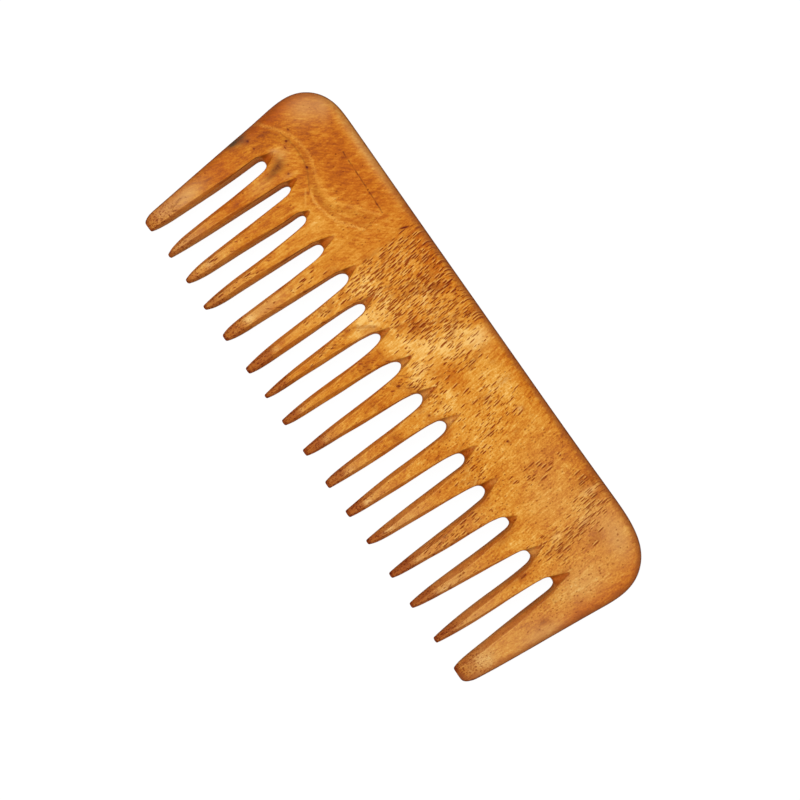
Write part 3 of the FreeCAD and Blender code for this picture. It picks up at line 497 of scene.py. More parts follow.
# ------------------------------------------------------------------ colour plan
# Broad patches in the wood: (x, y, spread x, spread y, turn in
# degrees, amount).  Positive is paler.
TONE = [
    # the long trends: darker left end and outer gaps, darker edge of the spine (partly painted
    # shade of the rounded edge), darker lower teeth with paler filed tips, a paler middle
    (-90, 8, 7, 26, 0, -0.12), (-70, 8, 13, 11, 0, -0.11), (0, 33.6, 110, 2.6, 0, -0.08), (-44, 27, 6, 11, 0, -0.09),
    (-56, -17, 26, 9, 0, -0.10), (46, -19, 50, 8, 0, -0.10), (9, 12, 9, 9, 0, 0.13), (0, -33.5, 110, 2.4, 0, 0.10),
    # paler patches at the top left corner and along the top edge at the left are partly painted sheen on the rounded
    # edge
    (-88, 29, 4, 5, -35, 0.06), (-88, 24, 3, 3, 20, 0.04), (-80, 31, 6, 3, 0, -0.02), (-68, 30.5, 11, 2.6, 0, -0.12), (-78, 23, 5, 4, 0, -0.10),
    (-66, 24, 10, 4, 0, -0.12), (-54, 30, 6, 3, 0, -0.04), (-66, 35, 14, 1.6, 0, 0.18), (-84, 34.5, 4, 1.5, 0, 0.10), (-90, 16, 3, 5, 0, -0.12),
    (-80, 14.5, 4, 1.8, 0, 0.04), (-80.5, 12.5, 1.6, 2, 0, 0.12), (-64, 9, 6, 3, 0, 0.02), (-58, 9, 4, 3, 0, 0.10), (-50, 10, 4, 4, 0, 0.06),
    (-52, 22, 4, 3, 45, 0.06), (-61, 17, 5, 1.5, 0, 0.12), (-44, 30, 3, 4, 0, 0.06), (-44, 16, 3, 4, 0, 0.02),
    (-31, 10, 5, 3, 0, 0.16), (-34, 24, 4, 7, 0, 0.0), (-27, 32, 8, 2, 0, -0.10), (-24, 26, 4, 5, 10, -0.04), (-16, 29, 3, 3, -20, -0.08),
    (-18, 23, 3, 4, 0, 0.12), (-12, 16, 3, 3, 0, -0.12), (-21, 6, 3, 4, 0, 0.20), (-10, 9, 4, 3, 0, 0.22), (-3, 17, 3.2, 5, -10, 0.22),
    (-5, 22, 3, 3, 30, 0.02), (2, 30, 3, 3.5, -10, 0.28), (-2, 28, 3, 4, 0, 0.06), (7, 23, 2.4, 5, 12, -0.08), (10, 17, 5, 2, 0, -0.14), (2, 12, 2.5, 3, -30, -0.06),
    (6, 14, 3, 3, 0, -0.12), (1.5, 7.5, 2.5, 2.5, 0, 0.18), (14, 26, 4, 5, 0, 0.14), (22, 29, 4, 2.5, 0, 0.18), (14, 11, 3.5, 3, 0, 0.10),
    (19, 15, 4, 3, 0, 0.02), (27, 18, 2, 6, 8, 0.10), (31, 30.5, 5, 1.6, 0, 0.14), (26, 32.5, 4, 1.5, 0, -0.06), (33, 24, 5, 4, 0, 0.0),
    (40, 24, 5, 5, 0, 0.04), (34, 12, 4, 3, 0, 0.08), (46, 27, 3, 6, -10, -0.10), (48, 12, 3, 5, 30, 0.02), (52, 29, 4, 3, 0, 0.06), (57, 19, 8, 8, 0, 0.04),
    (62, 30, 1.5, 3, -15, 0.16), (58.5, 31, 1.6, 3, 0, -0.10), (66, 26, 3, 4, -30, 0.14), (63.5, 32, 1.0, 2.6, 0, -0.12), (68, 13, 2, 4, 0, 0.14),
    (74, 26, 4, 3, 0, -0.08), (80, 31, 4, 3, -20, 0.14), (76, 20, 5, 4, 0, -0.04), (85, 14, 3.5, 4, 0, 0.14), (84, 6, 2.5, 4, 0, 0.14),
    (88, 30, 5, 3, -40, -0.08), (92.5, 20, 2.4, 10, 0, -0.22), (92, 6, 2, 5, 0, -0.24), (-93.8, 21, 1.6, 9, 0, -0.30), (-93, 12, 1.4, 4, 0, -0.16), (71, 10, 3, 4, 0, -0.02),
    (-92, 33, 4, 3, -40, -0.14),
    # teeth
    (-90, 0, 3, 2, 0, -0.06), (-88, -6, 4, 2.2, 12, -0.12), (-87.5, -10.5, 3.5, 2.5, -25, -0.14), (-88, -2.4, 3, 0.9, 0, -0.02), (-87.6, -19, 2.4, 5, 0, 0.05),
    (-87.5, -27, 2.4, 3, 0, 0.05), (-76.3, 0, 1.6, 2.5, 0, 0.08), (-76.6, -8, 2, 4, 0, -0.14), (-75.6, -16, 1.2, 3, 0, 0.02), (-75.6, -22, 1, 5, 0, -0.04),
    (-66, -4, 2, 5, 0, 0.0), (-65.4, -19, 1.2, 6, 0, 0.10), (-56, -4, 2, 8, 0, 0.12), (-55.2, -20, 1.2, 5, 0, 0.12), (-44, -10, 2.5, 6, 0, 0.08),
    (-44.4, -17, 1.3, 4, 0, 0.14), (-44.2, -25.5, 0.9, 1.6, 0, 0.34), (-32.5, 2, 2, 5, 0, 0.10), (-32, -14, 1.4, 5, 0, 0.14), (-22, 3, 2, 4, 0, 0.14), (-21.5, -12, 1.4, 6, 0, 0.06),
    (-23.3, -2, 0.8, 1.8, 20, -0.14), (-11.3, -2, 2.4, 4, 0, -0.12), (-11, 5, 2.4, 1.6, 0, 0.10), (-11, -12, 1.6, 4, 0, 0.02), (-10.8, -20, 1.2, 4, 0, 0.08), (1.5, -3, 2.6, 5, 0, -0.10),
    (0.8, -13, 1.6, 3, 0, 0.04), (0.8, -20, 1.4, 4, 0, 0.06), (13, 0, 2.4, 5, 0, 0.02), (13, -12, 2, 5, 0, -0.06), (13, -22, 1.4, 4, 0, 0.04), (24, -3, 2.2, 3, 0, -0.08),
    (24, -9, 2, 2.5, 0, 0.10), (24.4, -23, 1.4, 3, 0, 0.04), (36, 2, 2, 3, 20, 0.06), (36, -6, 2.2, 5, 0, -0.06), (36, -19, 1.4, 5, 0, 0.08), (49, 0, 2.4, 5, 0, 0.06),
    (48.5, -7, 2, 2, 0, -0.08), (48.5, -15, 1.6, 3, 0, 0.06), (61, 2, 2.4, 2.4, 0, 0.12), (61.5, -6, 2, 4, 0, 0.0), (61.4, -18, 1.2, 6, 0, 0.10), (73, 6, 2.4, 2.4, 0, 0.08), (72, -1, 1, 2, 0, -0.16),
    (73.6, -6, 1.4, 3, 0, 0.06), (74, -18, 1.0, 6, 0, 0.08), (86.5, -5, 2.6, 3.5, -25, -0.14), (91, -5, 1.5, 4, 0, 0.14), (87.5, -17, 2.6, 5, 0, 0.10), (86.6, -26, 2.6, 2.6, 0, 0.26),
]
# Redder patches
RED = [
    (-70, 20, 20, 12, 0, 0.25), (-23, 24, 12, 9, 0, 0.40),
    (-70, 29, 16, 4, 0, 0.40), (-93, 20, 2, 9, 0, 1.0), (-92, 12, 2, 5, 0, 0.7), (-62, 24, 9, 4, 0, 0.30), (-52, 28, 5, 4, 0, 0.25), (-88, -7, 4, 4, 0, 0.65),
    (-76.5, -9, 2, 4, 0, 0.65), (92, 18, 3, 12, 0, 0.65), (91.5, 5, 2, 5, 0, 0.8), (86, -5, 3, 3, 0, 0.45), (74, 26, 4, 3, 0, 0.30), (62, 32, 4, 1.4, 0, 0.45),
    (88, 31, 5, 2.5, -40, 0.5), (47, 27, 2, 6, 0, 0.35), (-28, 32, 9, 2, 0, 0.35), (-12, 16, 3, 3, 0, 0.35), (10, 16.5, 5, 2, 0, 0.35), (5, 13, 3, 3, 0, 0.25),
    (-11, -2, 3, 4, 0, 0.2), (1, -4, 3, 5, 0, 0.25), (72, -1, 1, 2, 0, 0.4), (20, 33, 14, 1.2, 0, 0.30), (-45, 20, 3, 2, 30, 0.25),
    (24, -4, 2, 2, 0, 0.3), (36, -5, 2, 3, 0, 0.2), (48, -20, 2, 4, 0, 0.2),
]
# Dark streaks of figure among the pores: (x, y, spread x, spread y, turn, amount)
STREAK = [
    (-18.6, 28.2, 0.9, 1.5, 10, 0.75), (-19.9, 25.2, 0.55, 1.6, -20, 0.55), (-21.2, 21.6, 0.5, 1.4, -28, 0.55), (-21.9, 18.6, 0.5, 0.9, 0, 0.7), (-23.2, 26.3, 0.45, 1.3, 12, 0.5),
    (-17.1, 30.5, 0.4, 1.8, 8, 0.5), (-11.1, 31.0, 0.4, 1.4, 5, 0.5), (-7.6, 28.2, 0.5, 1.7, 12, 0.55), (-5.6, 26.8, 0.5, 2.0, 42, 0.55), (-3.7, 24.0, 0.4, 1.6, 25, 0.5), (-2.4, 22.0, 0.3, 1.0, 0, 0.5),
    (-5.6, 32.6, 0.6, 1.2, 10, 0.6), (-9.3, 23.2, 0.6, 1.2, 10, 0.6), (-12.6, 24.2, 0.45, 1.2, 0, 0.5), (-10.9, 16.0, 0.7, 1.6, 10, 0.75), (-13.5, 15.2, 0.6, 1.0, 0, 0.5), (-9.2, 18.0, 0.4, 0.9, 0, 0.4),
    (-14.6, 12.0, 0.6, 0.8, 0, 0.6), (-23.8, 22.4, 0.8, 1.6, 0, 0.4), (-24.2, 16.0, 0.4, 1.2, 0, 0.5), (-27.0, 16.3, 0.5, 0.9, 0, 0.5), (-28.0, 12.6, 0.7, 1.4, 0, 0.45), (-30.3, 27.3, 0.35, 1.2, 0, 0.45),
    (-36.4, 29.8, 0.6, 1.8, 0, 0.35), (-34.0, 28.5, 0.8, 1.0, 0, 0.35), (-32.2, 20.3, 0.5, 0.8, 0, 0.35), (-22.2, 29.2, 0.4, 1.2, 8, 0.4), (-24.2, 31.0, 0.5, 0.8, 0, 0.4), (-35.2, 21.5, 0.35, 1.4, 10, 0.4),
    (-39.4, 31.0, 0.28, 1.3, -20, 0.9), (-38.4, 25.0, 0.3, 0.8, 0, 0.4), (-38.3, 18.5, 0.3, 1.8, 5, 0.45), (-32.6, 16.6, 0.6, 0.8, 20, 0.4), (-38.8, 15.2, 0.5, 0.8, 0, 0.4),
    (7.4, 25.0, 0.4, 1.6, 12, 0.6), (8.7, 22.8, 0.35, 0.8, 0, 0.5), (6.0, 27.6, 0.3, 2.4, 10, 0.3), (11.3, 29.6, 0.5, 0.7, -30, 0.5), (12.8, 24.6, 0.3, 1.4, 4, 0.6), (19.2, 21.4, 0.5, 1.0, 10, 0.65),
    (17.6, 20.0, 0.35, 0.8, 20, 0.4), (17.8, 29.0, 0.6, 2.0, 5, 0.4), (28.6, 16.0, 0.3, 0.6, 0, 0.5), (4.9, 19.0, 0.4, 0.5, 0, 0.4), (7.8, 16.6, 0.3, 0.8, 0, 0.4), (5.4, 13.2, 0.3, 0.9, -10, 0.5), (3.6, 13.0, 0.25, 1.0, -20, 0.5),
    (28.3, 28.6, 1.0, 0.4, 30, 0.4), (34.2, 18.9, 0.35, 0.5, 0, 0.7), (33.0, 23.2, 0.3, 0.8, 10, 0.4), (35.0, 28.9, 0.35, 0.4, 0, 0.4), (31.5, 30.2, 0.5, 0.3, 0, 0.4), (46.2, 22.8, 0.25, 0.8, 0, 0.5), (47.3, 19.2, 0.25, 1.0, 0, 0.5),
    (59.2, 33.6, 1.6, 0.5, 0, 0.6), (58.0, 30.6, 0.8, 1.6, 10, 0.4), (64.0, 31.8, 0.8, 1.8, 0, 0.5), (62.3, 30.4, 0.3, 1.6, 0, 0.5), (65.6, 28.8, 0.3, 1.8, 6, 0.55), (60.2, 30.2, 0.35, 1.6, 0, 0.5), (67.6, 32.0, 0.35, 1.0, 0, 0.5),
    (69.4, 24.4, 0.5, 1.6, 12, 0.6), (70.6, 21.4, 0.5, 1.2, 20, 0.5), (75.0, 22.6, 0.6, 0.9, 0, 0.5), (73.2, 19.4, 0.5, 0.4, 0, 0.5), (69.2, 16.4, 0.3, 2.2, 6, 0.6), (71.2, 14.2, 0.35, 1.9, 8, 0.7), (66.6, 13.6, 0.4, 0.8, 0, 0.4),
    (70.2, 9.6, 0.4, 1.6, 8, 0.5), (74.0, 12.0, 0.6, 1.2, 0, 0.3), (78.6, 9.5, 1.0, 1.6, 0, 0.4), (74.4, 25.2, 1.6, 0.9, 0, 0.35),
    (-85.7, 18.9, 0.5, 0.35, 0, 0.6), (-83.0, 16.3, 0.45, 0.45, 0, 0.7), (-72.5, 16.9, 0.4, 0.3, 0, 0.8), (-61.0, 20.2, 0.4, 0.4, 0, 0.6), (-81.5, 14.8, 0.6, 0.25, 0, 0.5), (-74.4, 10.9, 0.45, 0.6, 0, 0.5),
    (-89.9, 6.3, 0.45, 0.45, 0, 0.85), (-87.1, 6.6, 0.3, 0.3, 0, 0.5), (-77.0, 23.0, 0.8, 1.0, 0, 0.25), (-80.0, 23.4, 0.6, 0.6, 0, 0.25), (-68.6, 27.7, 0.5, 0.6, 0, 0.4),
    # teeth
    (-32.3, 3.5, 0.35, 1.2, 0, 0.7), (-33.3, 4.8, 0.3, 0.8, 0, 0.5), (-31.3, -3.4, 0.4, 0.8, 0, 0.7), (-32.6, -2.2, 0.35, 0.9, 0, 0.5), (-33.6, -1.2, 0.5, 0.9, 0, 0.45), (-33.2, -5.6, 0.7, 0.7, -20, 0.6),
    (-42.6, -6.6, 0.25, 1.4, 0, 0.6), (-44.0, -4.4, 0.25, 1.2, 0, 0.4), (-44.1, -9.3, 0.4, 0.6, 0, 0.4), (-45.2, -5.0, 0.2, 1.2, 0, 0.35),
    (-23.4, -2.6, 0.5, 0.9, -30, 0.7), (-21.6, 1.4, 0.7, 2.6, -32, 0.22), (-19.6, 4.2, 0.5, 1.4, -32, 0.20), (-22.0, -8.5, 0.35, 2.0, -38, 0.35), (-22.0, -12.6, 0.3, 1.4, -38, 0.35), (-21.6, -16.0, 0.3, 1.2, -30, 0.4),
    (-11.4, 2.0, 1.6, 0.3, 0, 0.45), (-10.6, -3.8, 0.6, 0.8, -30, 0.5), (-12.2, -1.4, 0.5, 0.8, -30, 0.4), (-9.6, -4.4, 0.3, 0.8, -30, 0.5), (-11.4, -8.4, 1.2, 0.3, 0, 0.35),
    (-5.3, 9.0, 0.3, 0.6, 10, 0.9), (-0.2, 0.5, 1.0, 0.3, 20, 0.5), (0.8, 1.8, 1.4, 0.35, 35, 0.4), (1.2, -9.2, 2.0, 0.4, 10, 0.4), (3.0, 3.6, 0.4, 1.0, -30, 0.5), (-0.6, 8.6, 0.3, 0.9, -10, 0.7), (1.0, 8.4, 0.25, 0.7, 0, 0.6),
    (13.4, 3.4, 0.5, 0.6, 0, 0.6), (12.4, 8.6, 0.3, 0.6, 0, 0.7), (11.2, 1.6, 0.3, 0.4, 0, 0.5), (12.8, -9.4, 0.8, 0.8, 0, 0.55), (14.6, -8.6, 0.3, 1.0, 0, 0.4), (23.2, -7.4, 0.3, 0.3, 0, 0.5), (24.2, -17.2, 0.2, 0.5, 0, 0.5),
    (26.6, -2.0, 0.3, 0.8, 0, 0.4), (34.4, -3.4, 0.4, 0.5, 0, 0.5), (36.0, 1.4, 0.3, 1.6, 20, 0.35), (37.2, 0.0, 0.3, 1.4, 20, 0.35), (38.6, 2.0, 0.3, 1.4, 15, 0.35), (37.6, 4.2, 0.3, 0.8, 20, 0.4),
    (47.8, -11.6, 0.3, 0.8, 0, 0.5), (48.2, -17.2, 0.7, 0.4, 0, 0.5), (49.8, -12.6, 0.25, 0.9, 0, 0.4), (48.6, -8.2, 1.2, 0.3, 0, 0.35), (60.2, -17.4, 0.25, 1.4, 0, 0.5), (60.4, -12.4, 0.3, 0.3, 0, 0.4), (58.8, 0.0, 0.6, 2.0, 6, 0.45),
    (71.6, -1.8, 0.5, 1.2, 0, 0.6), (74.0, -6.4, 0.3, 0.3, 0, 0.4), (71.6, -12.6, 0.25, 0.5, 0, 0.5), (87.2, -4.4, 0.6, 0.9, 0, 0.5), (88.1, -2.8, 0.3, 0.4, 0, 0.6), (88.4, -7.4, 0.25, 0.4, 0, 0.6),
    (84.2, 2.2, 0.3, 0.5, 0, 0.5), (85.4, 6.4, 0.4, 0.4, 0, 0.4), (-87.3, -22.0, 0.2, 1.4, 15, 0.5), (-87.0, -25.0, 0.3, 0.6, 0, 0.6), (-85.4, -24.6, 0.25, 1.0, -25, 0.6), (-66.3, -25.4, 0.25, 0.5, 0, 0.6), (-65.6, -23.6, 0.15, 1.6, 0, 0.5),
    (-75.6, -20.2, 0.35, 0.4, 0, 0.5), (-76.2, -28.0, 0.3, 0.5, 0, 0.5), (-75.3, -33.4, 0.5, 0.4, 0, 0.7), (-65.4, -33.6, 0.5, 0.4, 0, 0.6), (-55.6, -26.0, 0.4, 0.4, 0, 0.6), (-55.4, -31.4, 0.4, 0.8, 0, 0.5),
]
# Painted highlights, chiefly glints on the sloping ends of the teeth, and pale rubbed spots
GLINT_AND_PALE = [
    (24.5, -28.2, 0.55, 0.8, 0, 1.0), (35.6, -27.0, 0.5, 0.6, 0, 0.7), (35.5, -29.0, 0.3, 0.8, 0, 0.8), (61.0, -24.6, 0.4, 1.0, 0, 0.6), (60.6, -27.4, 0.3, 1.0, 0, 0.4), (0.8, -27.4, 0.6, 0.7, 0, 0.45),
    (13.2, -27.0, 0.7, 1.0, 0, 0.30), (13.3, -29.0, 0.5, 0.6, 0, 0.25), (-44.2, -25.4, 0.8, 1.2, 0, 0.6), (-11.2, -28.6, 0.7, 0.8, 0, 0.35), (-31.4, -24.0, 0.4, 0.8, 0, 0.4), (-65.6, -26.2, 0.6, 0.6, 0, 0.4), (48.6, -25.6, 0.4, 0.8, 0, 0.4),
    (73.6, -28.0, 0.4, 0.8, 0, 0.3), (-18.9, 1.6, 0.25, 2.4, 0, 0.4), (86.0, -27.6, 1.4, 1.2, 0, 0.35), (-87.0, -19.0, 1.4, 3.0, 0, 0.2), (-82.6, 11.4, 0.5, 1.0, -30, 0.32), (-73.6, 10.6, 0.35, 1.4, -8, 0.18),
    (61.6, 31.0, 0.6, 1.8, -5, 0.5), (68.6, 24.4, 0.5, 1.4, 20, 0.35), (67.6, 14.6, 0.5, 1.0, 0, 0.5), (1.4, 30.4, 0.8, 2.2, 5, 0.4), (3.2, 29.8, 0.7, 2.0, 5, 0.35), (28.0, 28.0, 0.5, 0.5, 0, 0.5), (0.0, 10.0, 0.6, 1.6, -10, 0.35),
]
# Greyer, tan wood; the patches at the top left corner and along the top edge at the left are partly painted sheen on
# the rounded edge
TAN = [
    (78, 18, 9, 12, 0, 0.30), (66, -22, 30, 9, 0, 0.55), (88, -8, 5, 7, 0, 0.40), (20, -26, 22, 4, 0, 0.35), (-68, -24, 14, 5, 0, 0.40), (46, 26, 8, 8, 0, 0.20), (-40, -18, 8, 8, 0, 0.25), (-76, -30, 3, 4, 0, 0.6),
    (-60, -32, 8, 3, 0, 0.35),
    (-88.5, 28, 3.5, 4.5, -20, 0.75), (-66, 35.0, 13, 1.1, 0, 0.75), (-86, 32.5, 4, 1.5, -30, 0.4), (-87.6, -20, 2.4, 5.5, 0, 0.65), (-87.5, -29, 2.4, 3, 0, 0.6), (-80.5, 12.6, 1.4, 1.6, 0, 0.4),
    (85, 12, 4, 7, 0, 0.50), (80, 30, 5, 3, -20, 0.55), (70, 29, 6, 5, 0, 0.40), (86, -26.5, 3, 2.6, 0, 0.65), (86.5, -32, 3, 1.8, 0, 0.3), (91, -6, 2, 5, 0, 0.6), (-44.3, -20, 1.2, 5, 0, 0.4), (61, -22, 1.4, 5, 0, 0.3),
    (-76, 2, 1.6, 3, 0, 0.3), (58, 19, 7, 7, 0, 0.25), (74, -24, 1.4, 6, 0, 0.3), (36, -20, 1.4, 5, 0, 0.25), (3, 30, 3, 3, 0, 0.3), (48.6, -4, 2, 5, 0, 0.2),
]
# Grey-brown smudges and stains
STAIN = [
    (-92.2, 3.8, 1.2, 1.9, 0, 0.85), (-92.3, 1.4, 0.8, 1.3, 0, 0.7), (-91.0, 5.6, 1.6, 1.2, -30, 0.30), (-78.8, 10.6, 1.6, 1.3, 0, 0.55), (-77.6, 8.4, 0.9, 1.7, 8, 0.90), (-76.9, 5.6, 0.45, 1.3, 5, 0.60),
]
# Where the long dark pores stand thick
PORE = [
    (-31, 27, 6, 9, 0, 0.75), (-21, 25, 6, 9, 0, 0.75), (-11, 26, 4.5, 8, 0, 0.75), (-32, 14, 5, 5, 0, 0.95), (-22, 17, 5, 3.6, 0, 0.80), (-12, 18, 4, 3.4, 0, 0.80), (-3, 27, 4, 7, 0, 0.50),
    (4, 22, 3, 4, 0, 0.75), (-32.4, 1, 2, 6, 0, 0.55), (-13.5, 9.8, 1.5, 0.8, 0, 0.6), (9, 9, 3, 3, 0, 0.55), (14, 9, 3, 3, 0, 0.40), (18, 22, 3, 5, 0, 0.40), (25, 22, 3, 5, 0, 0.45), (28, 14, 3, 5, 0, 0.30),
    (-44, -5, 2.5, 5, 0, 0.40), (60, 31, 3, 3, 0, 0.55), (66, 29, 3, 4, 0, 0.50), (70, 18, 3, 7, 0, 0.60), (48, -14, 3, 8, 0, 0.60), (36, 4, 3, 4, 0, 0.45), (-22, -14, 2, 4, 0, 0.30), (46.8, 21, 1.5, 5, 0, 0.5),
    (1, 8, 3, 3, 0, 0.8),  (69, 12, 3, 5, 0, 0.50), (-66, -24, 1.5, 3, 0, 0.5), (-56, -20, 1.5, 5, 0, 0.35), (61, -20, 2, 5, 0, 0.35),
]
# Where the short specks stand thick
SPECK = [
    (20, 20, 14, 12, 0, 0.25), (40, 18, 12, 12, 0, 0.45), (55, 18, 10, 12, 0, 0.40), (75, 20, 8, 10, 0, 0.60), (84, 12, 5, 9, 0, 0.85), (78, 10, 6, 5, 0, 0.60), (84, 4, 3, 5, 0, 0.90), (86, -6, 3, 6, 0, 0.40), (86, -26, 3, 3, 0, 0.50),
    (24, 2, 4, 5, 0, 0.60), (13, 3, 3, 5, 0, 0.50), (24, -12, 3, 14, 0, 0.30), (36, -10, 3, 10, 0, 0.40), (49, 2, 3, 6, 0, 0.70), (48, -14, 3, 8, 0, 0.60), (61, -6, 3, 9, 0, 0.35), (73, -10, 3, 12, 0, 0.35), (8, 4, 3, 4, 0, 0.40),
    (-52, 19, 5, 4, 0, 0.45), (-57, 14.5, 4, 1.5, 0, 0.30), (-46, 22, 3, 5, 0, 0.30), (-88, -31, 4, 2.5, 0, 0.90), (-11, -2, 3, 5, 0, 0.40), (1, -12, 3, 12, 0, 0.15), (13, -22, 3, 6, 0, 0.20), (-22, 2, 3, 6, 0, 0.10), (-78, 24, 8, 6, 0, 0.12),
    (-34, 4, 4, 8, 0, 0.3), (-63, 22, 8, 5, 0, 0.12),
]
# Small crisp marks: dots, checks and slanting pores (x, y, half width, half length, turn, amount)
SPOTS = [
    (-85.7, 18.9, 0.38, 0.32, 0, 0.8), (-83.0, 16.3, 0.42, 0.42, 0, 0.9), (-81.5, 14.8, 0.50, 0.22, 0, 0.7), (-72.5, 16.9, 0.38, 0.30, 0, 1.0), (-74.2, 11.0, 0.32, 0.38, 0, 0.7), (-76.6, 12.5, 0.32, 0.32, 0, 0.5),
    (-86.9, 6.6, 0.28, 0.28, 0, 0.8), (-89.9, 6.3, 0.38, 0.38, 0, 0.9), (-61.0, 20.2, 0.32, 0.32, 0, 0.6), (-39.4, 31.0, 0.24, 1.5, -20, 1.0), (34.2, 18.9, 0.30, 0.45, 0, 0.9), (-5.0, 8.8, 0.32, 0.60, 14, 0.95),
    (7.6, 8.4, 0.34, 0.60, 16, 0.9), (19.1, 8.6, 0.32, 0.60, 10, 0.9), (6.9, 11.2, 0.22, 0.40, 0, 0.7), (18.6, 11.6, 0.24, 0.50, 14, 0.7), (55.8, 6.6, 0.28, 0.55, 0, 0.9), (0.3, 0.7, 0.42, 0.70, -35, 0.7),
    (-21.4, 2.4, 0.55, 3.8, -30, 0.34), (-19.7, 4.9, 0.50, 1.6, -32, 0.34), (-22.6, -4.5, 0.20, 1.6, -32, 0.5), (-21.5, -9.5, 0.22, 2.0, -30, 0.6), (-22.1, -13.0, 0.20, 1.3, -30, 0.5), (-54.7, -15.0, 0.20, 3.6, -14, 0.55),
    (-1.7, 3.6, 0.22, 1.4, -34, 0.6), (-0.4, 4.6, 0.20, 1.2, -36, 0.6), (0.9, 5.6, 0.20, 1.2, -36, 0.5), (2.2, 4.2, 0.20, 1.5, -34, 0.5), (3.4, 4.7, 0.22, 1.6, -32, 0.6), (-3.2, -0.4, 0.25, 1.2, -35, 0.6),
    (-87.6, -22.4, 0.15, 1.3, 15, 0.6), (-87.0, -23.4, 0.15, 0.9, 12, 0.5), (-85.6, -25.2, 0.17, 0.9, -30, 0.7), (-86.4, -31.6, 0.20, 0.5, -35, 0.7), (-84.9, -30.4, 0.20, 0.6, -40, 0.6), (-88.8, -32.6, 0.22, 0.4, 0, 0.5),
    (-66.4, -25.4, 0.15, 0.6, 0, 0.7), (-66.9, -24.8, 0.13, 0.5, 0, 0.6), (-43.2, -18.6, 0.17, 1.1, -35, 0.7), (-44.8, -24.6, 0.15, 0.7, -30, 0.5), (71.9, -1.6, 0.26, 1.0, 8, 0.5), (13.4, 3.4, 0.34, 0.42, 0, 0.6),
]
# Where slanting pores run across the teeth
HATCH = [
    (-55.5, -14, 1.6, 6, 0, 0.55), (-22, -4, 2, 9, 0, 0.50), (-11.5, -2, 2.4, 4, 0, 0.75), (1, 2, 3, 4, 0, 0.65), (-44, -22, 1.5, 6, 0, 0.40), (-66, -14, 1.5, 8, 0, 0.25), (-32, -12, 1.6, 6, 0, 0.30), (-86, -28, 2.4, 4, 0, 0.35),
]
# Painted highlight: a pale glint at the foot of some run-outs
RUNOUT_GLINT = [
    (-27.3, 6.8, 1.6, 2.4, 0, 0.20), (-16.1, 7.6, 0.6, 1.0, 0, 0.15), (-5.2, 5.4, 1.2, 1.3, 0, 0.95), (7.1, 5.4, 1.3, 1.5, 0, 0.95), (18.6, 6.6, 1.2, 1.6, 0, 1.0), (19.0, 9.0, 0.7, 2.0, 0, 0.4),
    (67.2, 4.8, 1.5, 1.8, 0, 0.85), (-82.4, 10.6, 1.0, 0.8, 0, 0.4), (-50.0, 10.8, 1.0, 1.2, 0, 0.35), (-38.6, 11.4, 0.8, 1.0, 0, 0.25), (29.8, 9.6, 0.8, 1.0, 0, 0.2), (42.2, 8.6, 1.2, 1.4, 0, 0.35),
]
# Middles of the gaps between the teeth
GAP_AT = [-82.1, -71.3, -60.7, -50.0, -38.2, -27.3, -16.1, -5.0, 7.1, 18.4, 29.8, 42.1, 55.2, 67.4, 78.9]
# Lean of the grain along the comb: (x, lean)
LEAN = [(-98, -0.30), (-88, -0.20), (-75, -0.05), (-60, -0.05), (-46, 0.02), (-38, 0.10), (-26, 0.14), (-12, 0.10), (0, 0.12), (12, 0.14), (28, 0.20), (44, 0.10), (58, 0.10), (74, 0.14), (98, -0.05)]
# Growth lines that wander over the left of the face: points, smoothed
RINGS = [
    [(-93.5, 11.2), (-91, 13.4), (-88, 15.7), (-84.5, 18.0), (-80, 19.6), (-75, 19.7), (-71, 18.6), (-67.5, 17.4), (-63, 16.9), (-60, 17.2), (-57.5, 18.6), (-55.5, 20.6), (-52.5, 23), (-49, 25.6), (-46, 28)],
    [(-86.5, 16.2), (-82, 17.2), (-77, 17.4), (-73, 16.9), (-70, 15.6), (-67, 13.9), (-65, 13.1)],
    [(-66.5, 13.9), (-64.5, 12.9), (-62, 12.5), (-58, 12.9), (-54, 14.3), (-51, 16.3), (-48.5, 18.3), (-45.5, 20.5)],
    [(-67.5, 12.8), (-65, 11.0), (-62.0, 9.0)],
    [(-70.5, 28.9), (-66, 28.8), (-60, 28.65), (-54, 28.4), (-47, 28.1)],
]
# Where the oil-dark end of each tooth starts, and how dark it goes
ENDS = [(-31.6, 0.50), (-30.5, 0.40), (-30.5, 0.50), (-27.5, 0.60), (-28.0, 0.75), (-25.6, 0.85), (-26.6, 0.80), (-29.5, 0.90), (-27.0, 0.90), (-28.6, 0.90), (-29.6, 0.95), (-29.6, 0.90), (-27.6, 0.95),
        (-27.0, 0.90), (-27.6, 0.80), (-29.4, 0.50)]


def patches(table, x, y):
    out = np.zeros(x.shape)
    for px, py, sx, sy, turn, amount in table:
        reach = 3.2 * max(sx, sy)
        sel = np.nonzero((np.abs(x - px) < reach) & (np.abs(y - py) < reach))[0]
        if not len(sel):
            continue
        c, s = math.cos(math.radians(turn)), math.sin(math.radians(turn))
        dx, dy = x[sel] - px, y[sel] - py
        u, v = dx * c + dy * s, -dx * s + dy * c
        out[sel] += amount * np.exp(-0.5 * ((u / sx) ** 2 + (v / sy) ** 2))
    return out


def bent(table, x):
    t = np.array(table, float)
    return np.interp(x, t[:, 0], t[:, 1])


def off_line(points, x, y):
    """Distance above a wandering line, growing beyond the line's ends."""
    p = dense(points, 8)
    c = np.interp(x, p[:, 0], p[:, 1])
    slope = np.interp(x, p[:, 0], np.gradient(p[:, 1], p[:, 0]))
    d = (y - c) / np.sqrt(1 + slope**2)
    out = np.maximum(0, np.maximum(points[0][0] - x, x - points[-1][0]))
    return d + 30.0 * out


